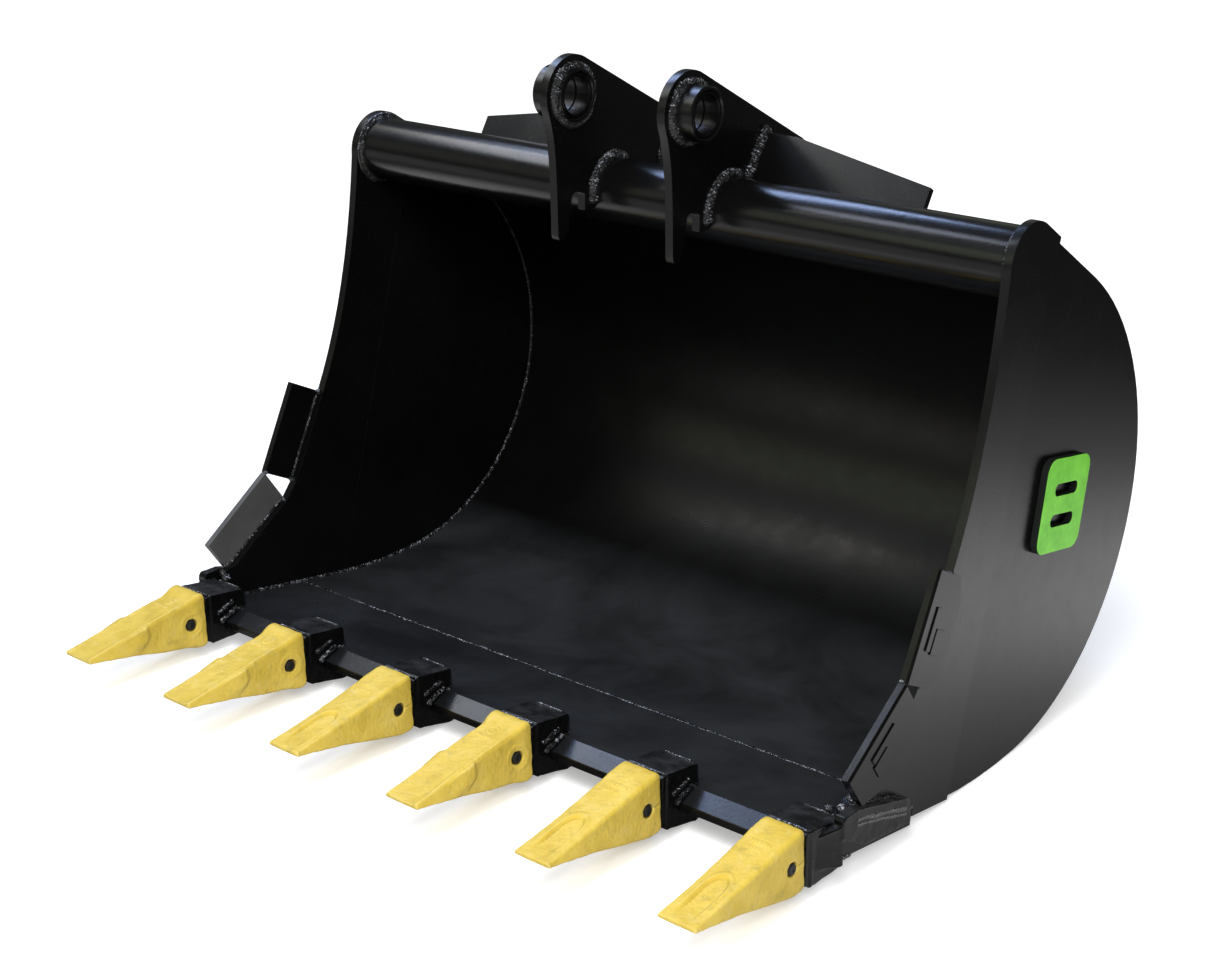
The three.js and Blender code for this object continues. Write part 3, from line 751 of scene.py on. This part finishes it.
def weld_side_cutters():
    """Runs between the cutters and the side walls, with lumps at the corners."""
    welds = WeldSet("weld_side_cutters", 600)
    wall = side_outline("side_edge_plate_right", 1)
    for level in ("upper", "lower"):
        cutter = side_outline(f"side_cutter_{level}_right", 1)
        edge = CutterFrame(cutter)
        for _, s in SIDES:
            x = s * (HALF_WIDTH - 1.0)
            crossing = [p for p in resample(np.vstack([wall, wall[:1]]), 4.0)[0] if edge.holds(p)]
            crossing = sorted(crossing, key=lambda p: -p[1])
            welds.run(with_x(crossing[1:-1], x), (-s * 0.6, -0.8, 0.2), 4.0, pitch=6.0, wander=0.3)
            for p in (crossing[0], crossing[-1]):
                welds.blob((x - s * 3.0, *p), 8.0, (1.3, 0.8, 1.0))
            if level == "upper":
                welds.blob((x + s * 6.0, *(edge.front_low + np.array([3.0, 0.0]))), 5.0, (1.6, 1.0, 1.0))
    welds.build()


def longest_edge(outline):
    """The upper and lower end of an outline's longest edge."""
    ahead = np.roll(outline, -1, axis=0)
    i = int(np.argmax(np.linalg.norm(ahead - outline, axis=1)))
    return sorted((outline[i], ahead[i]), key=lambda p: -p[1])


class CutterFrame:
    """A cutter's front edge, the longest of its outline, and what the outline covers."""

    def __init__(self, outline):
        self.outline = outline
        self.front_top, self.front_low = longest_edge(outline)

    def holds(self, p):
        """Whether the outline covers the point."""
        inside = False
        points = self.outline
        for a, b in zip(points, np.roll(points, -1, axis=0)):
            if (a[1] > p[1]) != (b[1] > p[1]):
                if p[0] < a[0] + (p[1] - a[1]) * (b[0] - a[0]) / (b[1] - a[1]):
                    inside = not inside
        return inside


def weld_corner_straps():
    """Heavy runs along the outer straps of the corner adapters, and lumps at the wall's nose."""
    welds = WeldSet("weld_corner_straps", 700)
    above = np.array([[-346.0, 149.0], [-250.0, 121.0], [CORNER_STRAP_END - 6.0, 0.0]])
    above[2, 1] = lip_height(CORNER_STRAP_END, 44.0)
    lumps = (
        (-2.0, -340.0, lip_height(-338.0) + 3.0, 13.0, (1.2, 1.0, 0.8)),
        (-4.0, -355.0, lip_height(-352.0) + 24.0, 10.0, (1.2, 1.0, 0.9)),
        (12.0, -350.0, 138.0, 11.0, (1.2, 0.8, 0.9)),
        (-12.0, -362.0, 136.0, 9.0, (1.4, 1.0, 0.8)),
    )
    for _, s in SIDES:
        wall = s * HALF_WIDTH
        welds.run(with_x(above - [0.0, 4.0], wall + s * 2.0), (s, 0.0, 1.0), 5.0, wander=0.3)
        for lower, radius in ((20.0, 6.0), (31.0, 4.2)):
            rib = with_x(above - [8.0, lower], s * (CORNER_STRAP_FACE - 1.5))
            welds.run(rib, (s, 0.0, 0.4), radius, pitch=9.0, wander=0.4, flatten=0.6)
        end = (wall + s * 6.0, CORNER_STRAP_END)
        welds.line((*end, 88.0), (*end, 40.0), (s, 1.0, 0.0), 8.0)
        inside = s * INNER_HALF_WIDTH
        for out, y, z, size, squash in lumps:
            welds.blob((inside + s * out, y, z), size, squash)
        toe = (inside - s * 22.0, -352.0, lip_height(-352.0))
        welds.line(toe, (inside, -350.0, lip_height(-350.0)), (0.0, 0.4, 1.0), 8.0)
        welds.line((inside, -347.0, 84.0), (inside, -347.0, 140.0), (-s, -1.0, 0.0), 6.0)
    welds.build()


def weld_plate_joints():
    """The run down each side wall between its front and rear plates."""
    welds = WeldSet("weld_plate_joints", 800)
    for name, s in SIDES:
        top, low = longest_edge(side_outline(f"side_plate_{name}", s))
        x = s * (HALF_WIDTH - 3.6)
        welds.line((x, *top), (x, *low), (s, 0.8, 0.0), 3.2, flatten=0.7, pitch=6.0)
    welds.build()


# ---- turned parts


def ring_profile(bore, radius, start, end, chamfer):
    """The section (radius, x) of a ring with chamfered corners."""
    c = chamfer
    front = [(bore, start + c), (bore + c, start), (radius - c, start), (radius, start + c)]
    return front + [(radius, end - c), (radius - c, end), (bore + c, end), (bore, end - c)]


def pivot_rings():
    """Bosses, and bushes with a grease groove half way along the bore."""
    for pin, centre in (("arm", ARM_PIN), ("link", LINK_PIN)):
        for side, s in SIDES:
            low, high = sorted(s * end for end in BOSS_ENDS)
            middle = (low + high) / 2
            boss = ring_profile(48.2, BOSS_RADIUS, low, high, 3.0)
            bush = ring_profile(BUSH_BORE, 47.7, low + 2.0, high - 2.0, 2.0)
            for deep, along in ((0.0, 3.0), (2.5, 2.0), (2.5, -2.0), (0.0, -3.0)):
                bush.append((BUSH_BORE + deep, middle + along))
            for kind, look, profile in (("boss", "plate", boss), ("bush", "bush", bush)):
                node = f"{pin}_pin_{kind}_{side}"
                finish_piece(lathe(f"{node}_turned", centre, profile), look, node)


PIN_DOME = ((0.01, 1.6), (3.0, 1.4), (4.2, 0.1), (7.5, 0.0), (10.3, 1.2), (11.7, 3.6), (12.0, 6.0))


def lock_pins():
    """Forged pins whose domed ends carry a punch mark; PIN_DOME is (radius, distance below the end)."""
    for number in TEETH:
        node = f"tooth_pin_{number}"
        low, high = box_mm(node)
        middle = (low + high) / 2
        half = (high[0] - low[0]) / 2
        profile = [(r, middle[0] - (half - drop)) for r, drop in PIN_DOME]
        profile += [(r, middle[0] + (half - drop)) for r, drop in PIN_DOME[::-1]]
        pin = lathe(f"{node}_forged", middle[1:] - VIEW_SHIFT, profile, segments=40)
        finish_piece(pin, "pin", node, body=f"lock_pin_{number}")


# ---- castings


def voxel_cast(piece, voxel_mm, smoothing):
    """Turns a sharp solid into a softly rounded casting."""
    modify(piece, "REMESH", mode="VOXEL", voxel_size=voxel_mm * MM)
    modify(piece, "SMOOTH", factor=0.5, iterations=smoothing)
    apply_modifiers(piece)


def read_vectors(items, field):
    flat = np.zeros(len(items) * 3)
    items.foreach_get(field, flat)
    return flat.reshape(-1, 3)


def get_points(mesh):
    return read_vectors(mesh.vertices, "co")


def get_normals(mesh):
    return read_vectors(mesh.vertex_normals, "vector")


def set_points(mesh, points):
    mesh.vertices.foreach_set("co", np.asarray(points).ravel())
    mesh.update()


def wave_noise(points_mm, scale, seed, octaves=3):
    """Smooth pseudo-random values in about -1 to 1, made of sines in random directions."""
    rng = np.random.default_rng(seed)
    total = np.zeros(len(points_mm))
    weight = 1.0
    for _ in range(octaves):
        for _ in range(12):
            direction = rng.normal(size=3)
            direction /= np.linalg.norm(direction)
            phase = rng.uniform(0.0, 6.28)
            total += weight * np.sin(points_mm @ direction * (2 * math.pi / scale) + phase)
        scale *= 0.45
        weight *= 0.5
    return total / 6.0


def smoothstep(low, high, value):
    t = np.clip((value - low) / (high - low), 0.0, 1.0)
    return t * t * (3 - 2 * t)


def adapter_relief(points, normals, seed):
    """How far, in mm, an adapter's points move along their normals: a recessed collar and cast lumps."""
    y = points[:, 1]
    upright = 1.0 - smoothstep(0.5, 0.8, np.abs(normals[:, 1]))
    collar = smoothstep(-465.0, -467.5, y)
    shoulder = np.exp(-((y + 461.0) / 3.0) ** 2)
    move = upright * (-2.6 * collar + 1.1 * shoulder) * (y > TOOTH_BACK)
    body = smoothstep(-470.0, -455.0, y)
    move += body * (0.9 * wave_noise(points, 60.0, seed, 1) + 0.4 * wave_noise(points, 24.0, seed + 1, 2))
    return move


def add_corner_cheek(mesh, side):
    """Joins a corner adapter's cheek to its outer strap by a slanted wedge, merged in by voxel_cast."""
    root, proud = 884.0, 909.0
    corners = (
        (root, -440.0, 126.0),
        (root, -455.0, 121.0),
        (root, -457.0, 58.0),
        (root, -440.0, 46.0),
        (root, -390.0, 131.0),
        (root, -390.0, 40.0),
        (proud, -391.0, 129.0),
        (proud, -391.0, 46.0),
    )
    with editing(mesh) as bm:
        added = [bm.verts.new(Vector(to_frame((side * x, y, z)))) for x, y, z in corners]
        bmesh.ops.convex_hull(bm, input=added)


def adapters():
    """Castings softened from the CAD solids."""
    for number in TEETH:
        node = f"adapter_{number}"
        piece = add_object(f"{node}_cast", NODES[node].data.copy())
        with editing(piece.data) as bm:
            bmesh.ops.remove_doubles(bm, verts=bm.verts, dist=1e-6)
        middle = tooth_x(number)
        if number in CORNER_TEETH:
            add_corner_cheek(piece.data, math.copysign(1.0, middle))
        voxel_cast(piece, 2.2, 4)
        mesh = piece.data
        points = get_points(mesh) / MM - np.array([middle, *VIEW_SHIFT])
        move = adapter_relief(points, get_normals(mesh), 40 + 7 * number)
        set_points(mesh, to_frame(points + get_normals(mesh) * move[:, None], middle))
        mesh.shade_smooth()
        finish_piece(piece, "adapter", node)


def section(y, half_top, half_low, top, low, radius, corner_steps=5):
    """A rounded four-sided section of a tooth at y, anticlockwise seen from the tip."""
    corners = ((half_top, top), (-half_top, top), (-half_low, low), (half_low, low))
    points = []
    for (x, z), start in zip(corners, (0.0, 90.0, 180.0, 270.0)):
        cx = x + (-1.0 if x > 0 else 1.0) * radius
        cz = z + (-1.0 if z == top else 1.0) * radius
        for k in range(corner_steps + 1):
            a = math.radians(start + 90.0 * k / corner_steps)
            points.append((cx + radius * math.cos(a), y, cz + radius * math.sin(a)))
    return points


def loft(name, sections):
    """A closed solid through the sections, in millimetres."""
    rows = len(sections[0])
    vertices = [np.array(p) for ring in sections for p in ring]
    faces = strip_faces(len(sections), rows)
    faces.append(tuple(range(rows)))
    faces.append(tuple((len(sections) - 1) * rows + k for k in range(rows)))
    piece = new_object(name, [v * MM for v in vertices], faces)
    recalculate(piece.data)
    return piece


def interpolate_sections(stations, step=6.0):
    """Section settings (y, half_top, half_low, top, low, radius) at even steps, smoothly joined."""
    table = np.array(stations, float)
    ys = np.append(np.arange(table[0, 0], table[-1, 0], -step), table[-1, 0])
    rows = []
    for y in ys:
        rows.append([y] + [float(np.interp(-y, -table[:, 0], table[:, k])) for k in range(1, 6)])
    rows = np.array(rows)
    for _ in range(2):
        rows[1:-1, 1:] = 0.25 * rows[:-2, 1:] + 0.5 * rows[1:-1, 1:] + 0.25 * rows[2:, 1:]
    return rows


CHISEL_STATIONS = (
    (TOOTH_BACK, 44.0, 48.0, 152.0, 28.0, 10.0),
    (TOOTH_BACK - 8.0, 46.5, 50.0, 155.0, 25.0, 11.0),
    (-516.0, 46.5, 50.0, 151.0, 26.0, 11.0),
    (-560.0, 45.0, 49.0, 142.0, 36.0, 10.0),
    (-600.0, 43.5, 48.5, 134.0, 46.0, 9.0),
    (-680.0, 42.0, 47.5, 119.0, 68.0, 6.5),
    (-760.0, 41.5, 45.5, 106.0, 84.0, 4.0),
    (TOOTH_TIP, 42.0, 43.5, 100.5, 91.5, 3.0),
)
FLARED_STATIONS = (
    (TOOTH_BACK, 48.0, 51.0, 153.0, 27.0, 10.0),
    (TOOTH_BACK - 7.0, 50.0, 53.0, 157.0, 24.0, 11.0),
    (TOOTH_BACK - 22.0, 49.5, 52.0, 156.0, 25.0, 11.0),
    (-530.0, 43.0, 46.5, 144.0, 33.0, 10.0),
    (-600.0, 41.0, 46.0, 135.0, 46.0, 8.0),
    (-680.0, 41.0, 47.0, 122.0, 68.0, 6.0),
    (-760.0, 41.5, 46.0, 107.0, 84.0, 4.0),
    (TOOTH_TIP, 42.0, 43.5, 100.5, 91.5, 3.0),
)
NOSE_POCKET = ((TOOTH_BACK + 6.0, 35.5, 42.5), (-694.0, 26.5, 14.5))


def cut_with(piece, tool):
    modify(piece, "BOOLEAN", operation="DIFFERENCE", solver="EXACT", object=tool)
    bpy.context.view_layer.update()
    apply_modifiers(piece)
    bpy.data.objects.remove(tool)


def rod_tool(radius, half, y, z):
    """A round bar along x, to cut a hole with."""
    bm = bmesh.new()
    sizes = {"radius1": radius, "radius2": radius, "depth": 2 * half}
    bmesh.ops.create_cone(bm, cap_ends=True, segments=48, **sizes)
    for v in bm.verts:
        v.co = Vector((v.co.z, y + v.co.x, z + v.co.y)) * MM
    return object_from(bm, "tool")


def pad_mask(x, y, centre, half, soft):
    """A plain rectangular pad: 1 inside, falling to 0 over soft millimetres."""
    across = smoothstep(-soft, 0.0, half[0] - np.abs(x - centre[0]))
    along = smoothstep(-soft, 0.0, half[1] - np.abs(y - centre[1]))
    return across * along


def tooth_relief(points, normals, flared):
    """How far, in mm, each point of a tooth moves along its normal for cast detail."""
    x, y, z = points.T
    on_top = smoothstep(0.55, 0.9, normals[:, 2]) * smoothstep(TOOTH_AXIS, TOOTH_AXIS + 8.0, z)
    on_side = smoothstep(0.6, 0.9, np.abs(normals[:, 0])) * (np.abs(x) > 38.0)
    from_pin = np.hypot(y - PIN_Y, z - TOOTH_AXIS)
    move = 0.4 * wave_noise(points, 34.0, 11) + 0.25 * wave_noise(points, 10.0, 12, 2)
    marks = np.zeros(len(points))
    if flared:
        ridge = np.exp(-((np.abs(x) - 36.0) / 4.5) ** 2) * smoothstep(-520.0, -570.0, y)
        dish = np.exp(-(x / 24.0) ** 2) * smoothstep(-560.0, -640.0, y)
        move += on_top * (1.8 * ridge - 1.8 * dish)
        fold = 640.0 + 0.55 * (132.0 - z)
        wavy = y + fold + 7.0 * np.sin(z / 9.0)
        along = np.where(wavy > 0.0, wavy / 11.0, wavy / 50.0)
        swell = np.exp(-along ** 2) * smoothstep(66.0, 98.0, z) * smoothstep(134.0, 122.0, z)
        move += on_side * (6.5 * swell + 1.1 * np.exp(-((from_pin - 27.0) / 4.0) ** 2))
        ring = np.exp(-((np.hypot(x + 2.0, y + 540.0) - 11.0) / 1.6) ** 2)
        marks = np.maximum(ring, pad_mask(x, y, (-2.0, -540.0), (5.0, 2.0), 1.6))
        rows = ((-566.0, 22.0),)
    else:
        radial = np.hypot(x / 22.0, np.maximum(0.0, y + 700.0) / 40.0)
        scoop = (1.0 - smoothstep(0.82, 1.04, radial)) * smoothstep(-802.0, -740.0, y)
        rim = np.exp(-((radial - 1.16) / 0.12) ** 2) * smoothstep(-775.0, -730.0, y)
        move += on_top * (-5.5 * scoop + 1.6 * rim)
        slot = np.exp(-((z - TOOTH_AXIS) / 2.2) ** 2) * smoothstep(PIN_Y + 14.0, PIN_Y + 17.0, y)
        move += on_side * -1.8 * slot
        rows = ((-556.0, 24.0), (-574.0, 18.0))
    for row, half in rows:
        dashes = 0.5 + 0.5 * np.sign(np.sin(x * 0.9 + row))
        pad = pad_mask(x, y, (-4.0, row), (half, 4.0), 1.6)
        marks = np.maximum(marks, pad * (0.25 + 0.75 * dashes))
    move += on_top * 2.2 * marks
    return move


def tooth_mesh(flared):
    """One tooth at x = 0, hollow for the adapter's nose and pierced for its pin."""
    stations = FLARED_STATIONS if flared else CHISEL_STATIONS
    rings = [section(*row) for row in interpolate_sections(stations)]
    piece = loft("tooth_blank", rings)
    (back, back_x, back_z), (front, front_x, front_z) = NOSE_POCKET
    pocket = [
        section(back, back_x, back_x, TOOTH_AXIS + back_z, TOOTH_AXIS - back_z, 3.0),
        section(front, front_x, front_x, TOOTH_AXIS + front_z, TOOTH_AXIS - front_z, 3.0),
    ]
    cut_with(piece, loft("pocket", pocket))
    cut_with(piece, rod_tool(PIN_HOLE_RADIUS, 80.0, PIN_Y, TOOTH_AXIS))
    voxel_cast(piece, 1.9, 2)
    mesh = piece.data
    points = get_points(mesh) / MM
    normals = get_normals(mesh)
    moved = points + normals * tooth_relief(points, normals, flared)[:, None]
    set_points(mesh, to_frame(moved))
    mesh.shade_smooth()
    bpy.data.objects.remove(piece)
    return mesh


def teeth():
    meshes = {True: tooth_mesh(True), False: tooth_mesh(False)}
    for number in TEETH:
        flared = number not in CHISEL_TEETH
        mesh = meshes[flared].copy()
        mesh.name = f"tooth_{number}_cast"
        shift = np.array([tooth_x(number) * MM, 0.0, 0.0])
        set_points(mesh, get_points(mesh) + shift)
        finish_piece(add_object(mesh.name, mesh), "tooth", f"tooth_{number}")


# ---- side cutters


def raised_pad(bm, frame_at, centre, half, corner=2.0):
    """A plain raised pad on a cutter's face; frame_at places (along, deep, out) in the row frame."""
    height = CUTTER_PAD_HEIGHT
    rings = []
    for out, shrink in ((-0.5, 0.0), (height - 0.6, 0.0), (height, 0.6)):
        ring = []
        for sx, sy, start in ((1, 1, 0), (-1, 1, 90), (-1, -1, 180), (1, -1, 270)):
            for k in range(4):
                a = math.radians(start + 30 * k)
                along = centre[0] + sx * (half[0] - corner) + (corner - shrink) * math.cos(a)
                deep = centre[1] + sy * (half[1] - corner) + (corner - shrink) * math.sin(a)
                ring.append(bm.verts.new(frame_at(along, deep, out)))
        rings.append(ring)
    join_rings(bm, rings)


def side_cutters():
    """Hexagonal plates, ground back along the front on the outer side, with plain raised pads."""
    for level in ("upper", "lower"):
        for side, s in SIDES:
            node = f"side_cutter_{level}_{side}"
            outline = side_outline(node, s)
            shape = CutterFrame(outline)
            lean = shape.front_low - shape.front_top
            length = np.linalg.norm(lean)
            lean = lean / length
            deep = np.array([-lean[1], lean[0]])
            low, high = box_mm(node)
            near, far = (low[0], high[0]) if s > 0 else (high[0], low[0])

            def at(along, depth, out, near=far, s=s, shape=shape, lean=lean, deep=deep):
                point = shape.front_top + lean * along + deep * depth
                return Vector(to_frame((near + s * out, *point)))

            bm = bmesh.new()
            is_front = (outline - shape.front_top) @ deep < 1.0
            rings = []
            for x, set_back in ((near, 0.0), (near * 0.25 + far * 0.75, 0.0), (far, CUTTER_GRIND)):
                moved = outline + np.outer(is_front * set_back, deep)
                rings.append([bm.verts.new(Vector(v)) for v in to_frame(with_x(moved, x))])
            join_rings(bm, rings)
            raised_pad(bm, at, (length * 0.50, 36.0), (44.0, 8.0))
            raised_pad(bm, at, (length * 0.60, 66.0), (26.0, 17.0))
            bmesh.ops.recalc_face_normals(bm, faces=bm.faces)
            piece = object_from(bm, f"{node}_ground")
            piece.data.shade_smooth()
            add_bevel(piece, 2.0)
            apply_modifiers(piece)
            # The lower left cutter takes the light grey paint that stands in for its bright reflection.
            painted_bright = (level, side) == ("lower", "left")
            finish_piece(piece, "painted_sheen" if painted_bright else "cutter", node)


# ---- carried-over plates


def carry(node, look, edge_mm):
    """A CAD plate keeps its shape; its edges are rounded by edge_mm, or only split when that is 0."""
    piece = NODES[node]
    mesh = piece.data
    for name in ("custom_normal", "sharp_edge", "sharp_face"):
        if name in mesh.attributes:
            mesh.attributes.remove(mesh.attributes[name])
    mesh.materials.clear()
    mesh.materials.append(MATERIALS[look])
    mesh.shade_smooth()
    modify(piece, "WELD", merge_threshold=0.02 * MM)
    if edge_mm:
        add_bevel(piece, edge_mm)
    else:
        modify(piece, "EDGE_SPLIT", split_angle=math.radians(30.0))


def carried_plates():
    carry("shell_wrapper", "shell", 0.0)
    carry("torque_tube", "tube", 0.0)
    carry("cutting_edge", "lip", 2.0)
    carry("badge_plate", "badge", 0.8)
    for side, _ in SIDES:
        carry(f"side_plate_{side}", "rear_plate", 1.2)
        for name in ("side_edge_plate", "ear", "gusset"):
            carry(f"{name}_{side}", "plate", 1.2)


# ---- stage, light and camera

CAMERA_PLACE = (2733.0, -3280.0, 2082.0)
CAMERA_YAW = 39.65
CAMERA_DROP = 20.71
CAMERA_LENS = 61.92


def floor():
    """A pale floor: near white to the camera; in reflections it glows, dark under the bucket as a painted
    shadow, and fades away from the bucket.
    """
    bpy.ops.mesh.primitive_plane_add(size=60.0, location=(0.0, 0.0, 0.0))
    plane = bpy.context.object
    plane.name = "floor"
    s = Shader("pale_floor")
    path = s.node("LightPath").outputs
    away = s.node("VectorMath", {0: s.coords}, operation="LENGTH").outputs["Value"]
    reach = s.math("DIVIDE", away, 8.0)
    # In reflections the floor's glow is near black close to the middle: a painted shadow under the
    # bucket.
    stops = [(0.09, 0.03), (0.145, 0.36), (0.19, 0.80), (0.24, 0.76), (0.33, 0.19), (0.5, 0.08)]
    mirrored = s.ramp(reach, stops)
    depth = s.axes(s.coords)["Y"]
    ahead = s.math("DIVIDE", depth, -6.0)
    shaded = s.times(mirrored, s.ramp(ahead, [(0.08, 1.0), (0.2, 0.6)]))
    hall = s.ramp(ahead, [(0.15, 0.0), (0.4, 0.25)])
    rear = s.ramp(s.math("DIVIDE", depth, 6.0), [(0.41, 1.75), (0.49, 0.6)])
    mirrored = s.times(s.math("MAXIMUM", shaded, hall), rear)
    seen = s.ramp(reach, [(0.08, 0.40), (0.42, 0.97)])
    s.set("Base Color", s.mix(path["Is Glossy Ray"], (0.80, 0.80, 0.80), (0.0, 0.0, 0.0)))
    s.set("Roughness", 0.9)
    s.set("Specular IOR Level", 0.0)
    s.set("Emission Color", s.mix(path["Is Glossy Ray"], seen, mirrored))
    s.set("Emission Strength", s.math("MAXIMUM", path["Is Camera Ray"], path["Is Glossy Ray"]))
    plane.data.materials.append(s.material)


def aim(thing, direction):
    thing.rotation_mode = "QUATERNION"
    thing.rotation_quaternion = direction.to_track_quat("-Z", "Y")


def area_light(name, place_m, target_m, size, power, colour=(1.0, 1.0, 1.0), mirrored=True):
    """A rectangular light aimed at target_m; reflections don't show it when mirrored is False."""
    data = bpy.data.lights.new(name, "AREA")
    data.shape = "RECTANGLE"
    data.size, data.size_y = size
    data.energy = power
    data.color = colour
    light = add_object(name, data)
    light.location = place_m
    aim(light, Vector(target_m) - Vector(place_m))
    light.visible_glossy = mirrored


def world():
    """White to the camera; reflections see a dim hall with a lighter wall in front of the bucket."""
    made = bpy.data.worlds.new("studio")
    SCENE.world = made
    s = NodeTree(made)
    ray = s.axes(s.node("TexCoord").outputs["Generated"])
    wall = s.ramp(ray["Z"], [
        (0.0, 0.05),
        (0.12, (0.10, 0.11, 0.09)),
        (0.22, (0.73, 0.79, 0.61)),
        (0.44, (0.88, 0.94, 0.73)),
        (0.52, (0.20, 0.22, 0.24)),
        (0.60, (0.42, 0.46, 0.50)),
        (0.72, (0.22, 0.23, 0.24)),
        (1.0, (0.12, 0.13, 0.14)),
    ])
    ahead = s.ramp(s.times(ray["Y"], -1.0), [(0.1, 0.25), (0.55, 1.0)])
    across = s.ramp(s.times(ray["X"], -1.0), [(0.0, 0.12), (0.2, 1.0), (0.53, 1.0), (0.60, 0.25)])
    hall = s.mix(s.times(ahead, across), (0.045, 0.046, 0.047), wall)
    dim = s.node("Background", {"Color": hall}).outputs[0]
    white = s.node("Background", {"Color": (1.0, 1.0, 1.0, 1.0)}).outputs[0]
    to_camera = s.node("LightPath").outputs["Is Camera Ray"]
    seen = s.node("MixShader", {0: to_camera, 1: dim, 2: white})
    s.node("OutputWorld", {0: seen.outputs[0]})


def lights():
    """Roof windows whose reflections run along the tube, and two large soft lights from the front."""
    for name, spot, target, size, power, colour in (
        ("blue", (-1.6, 1.0, 3.8), (-0.2, 0.1, 0.9), (1.9, 0.6), 42.0, (0.45, 0.60, 1.0)),
        ("pale", (-2.7, 0.2, 3.8), (-0.2, 0.0, 0.6), (3.2, 0.6), 20.0, (0.62, 0.74, 1.0)),
        ("warm", (-2.6, -0.7, 3.8), (-0.2, -0.1, 0.7), (3.0, 0.7), 24.0, (1.0, 0.97, 0.88)),
        ("small", (-1.1, -0.93, 3.8), (0.7, -0.3, 0.3), (0.7, 0.9), 10.0, (0.75, 0.82, 1.0)),
    ):
        area_light(f"roof_window_{name}", spot, target, size, power, colour)
    area_light("fill", (3.4, -3.6, 3.9), (0.0, -0.2, 0.3), (2.6, 2.0), 200.0, mirrored=False)
    area_light("overhead", (1.3, -2.6, 4.6), (0.0, -0.6, 0.2), (2.0, 2.0), 155.0, mirrored=False)


def camera():
    """The camera stands in front, to the right and above, and looks down along yaw and drop."""
    data = bpy.data.cameras.new("camera")
    data.lens = CAMERA_LENS
    data.sensor_width = 36.0
    data.sensor_fit = "HORIZONTAL"
    eye = add_object("camera", data)
    eye.location = to_frame(CAMERA_PLACE)
    yaw, drop = math.radians(CAMERA_YAW), math.radians(CAMERA_DROP)
    level = math.cos(drop)
    aim(eye, Vector((-math.sin(yaw) * level, math.cos(yaw) * level, -math.sin(drop))))
    SCENE.camera = eye


carried_plates()
side_cutters()
pivot_rings()
lock_pins()
adapters()
teeth()
weld_body_seams()
weld_tube()
weld_ears()
weld_gussets()
weld_adapters()
weld_side_cutters()
weld_corner_straps()
weld_plate_joints()
floor()
world()
lights()
camera()
SCENE.view_settings.view_transform = "Standard"
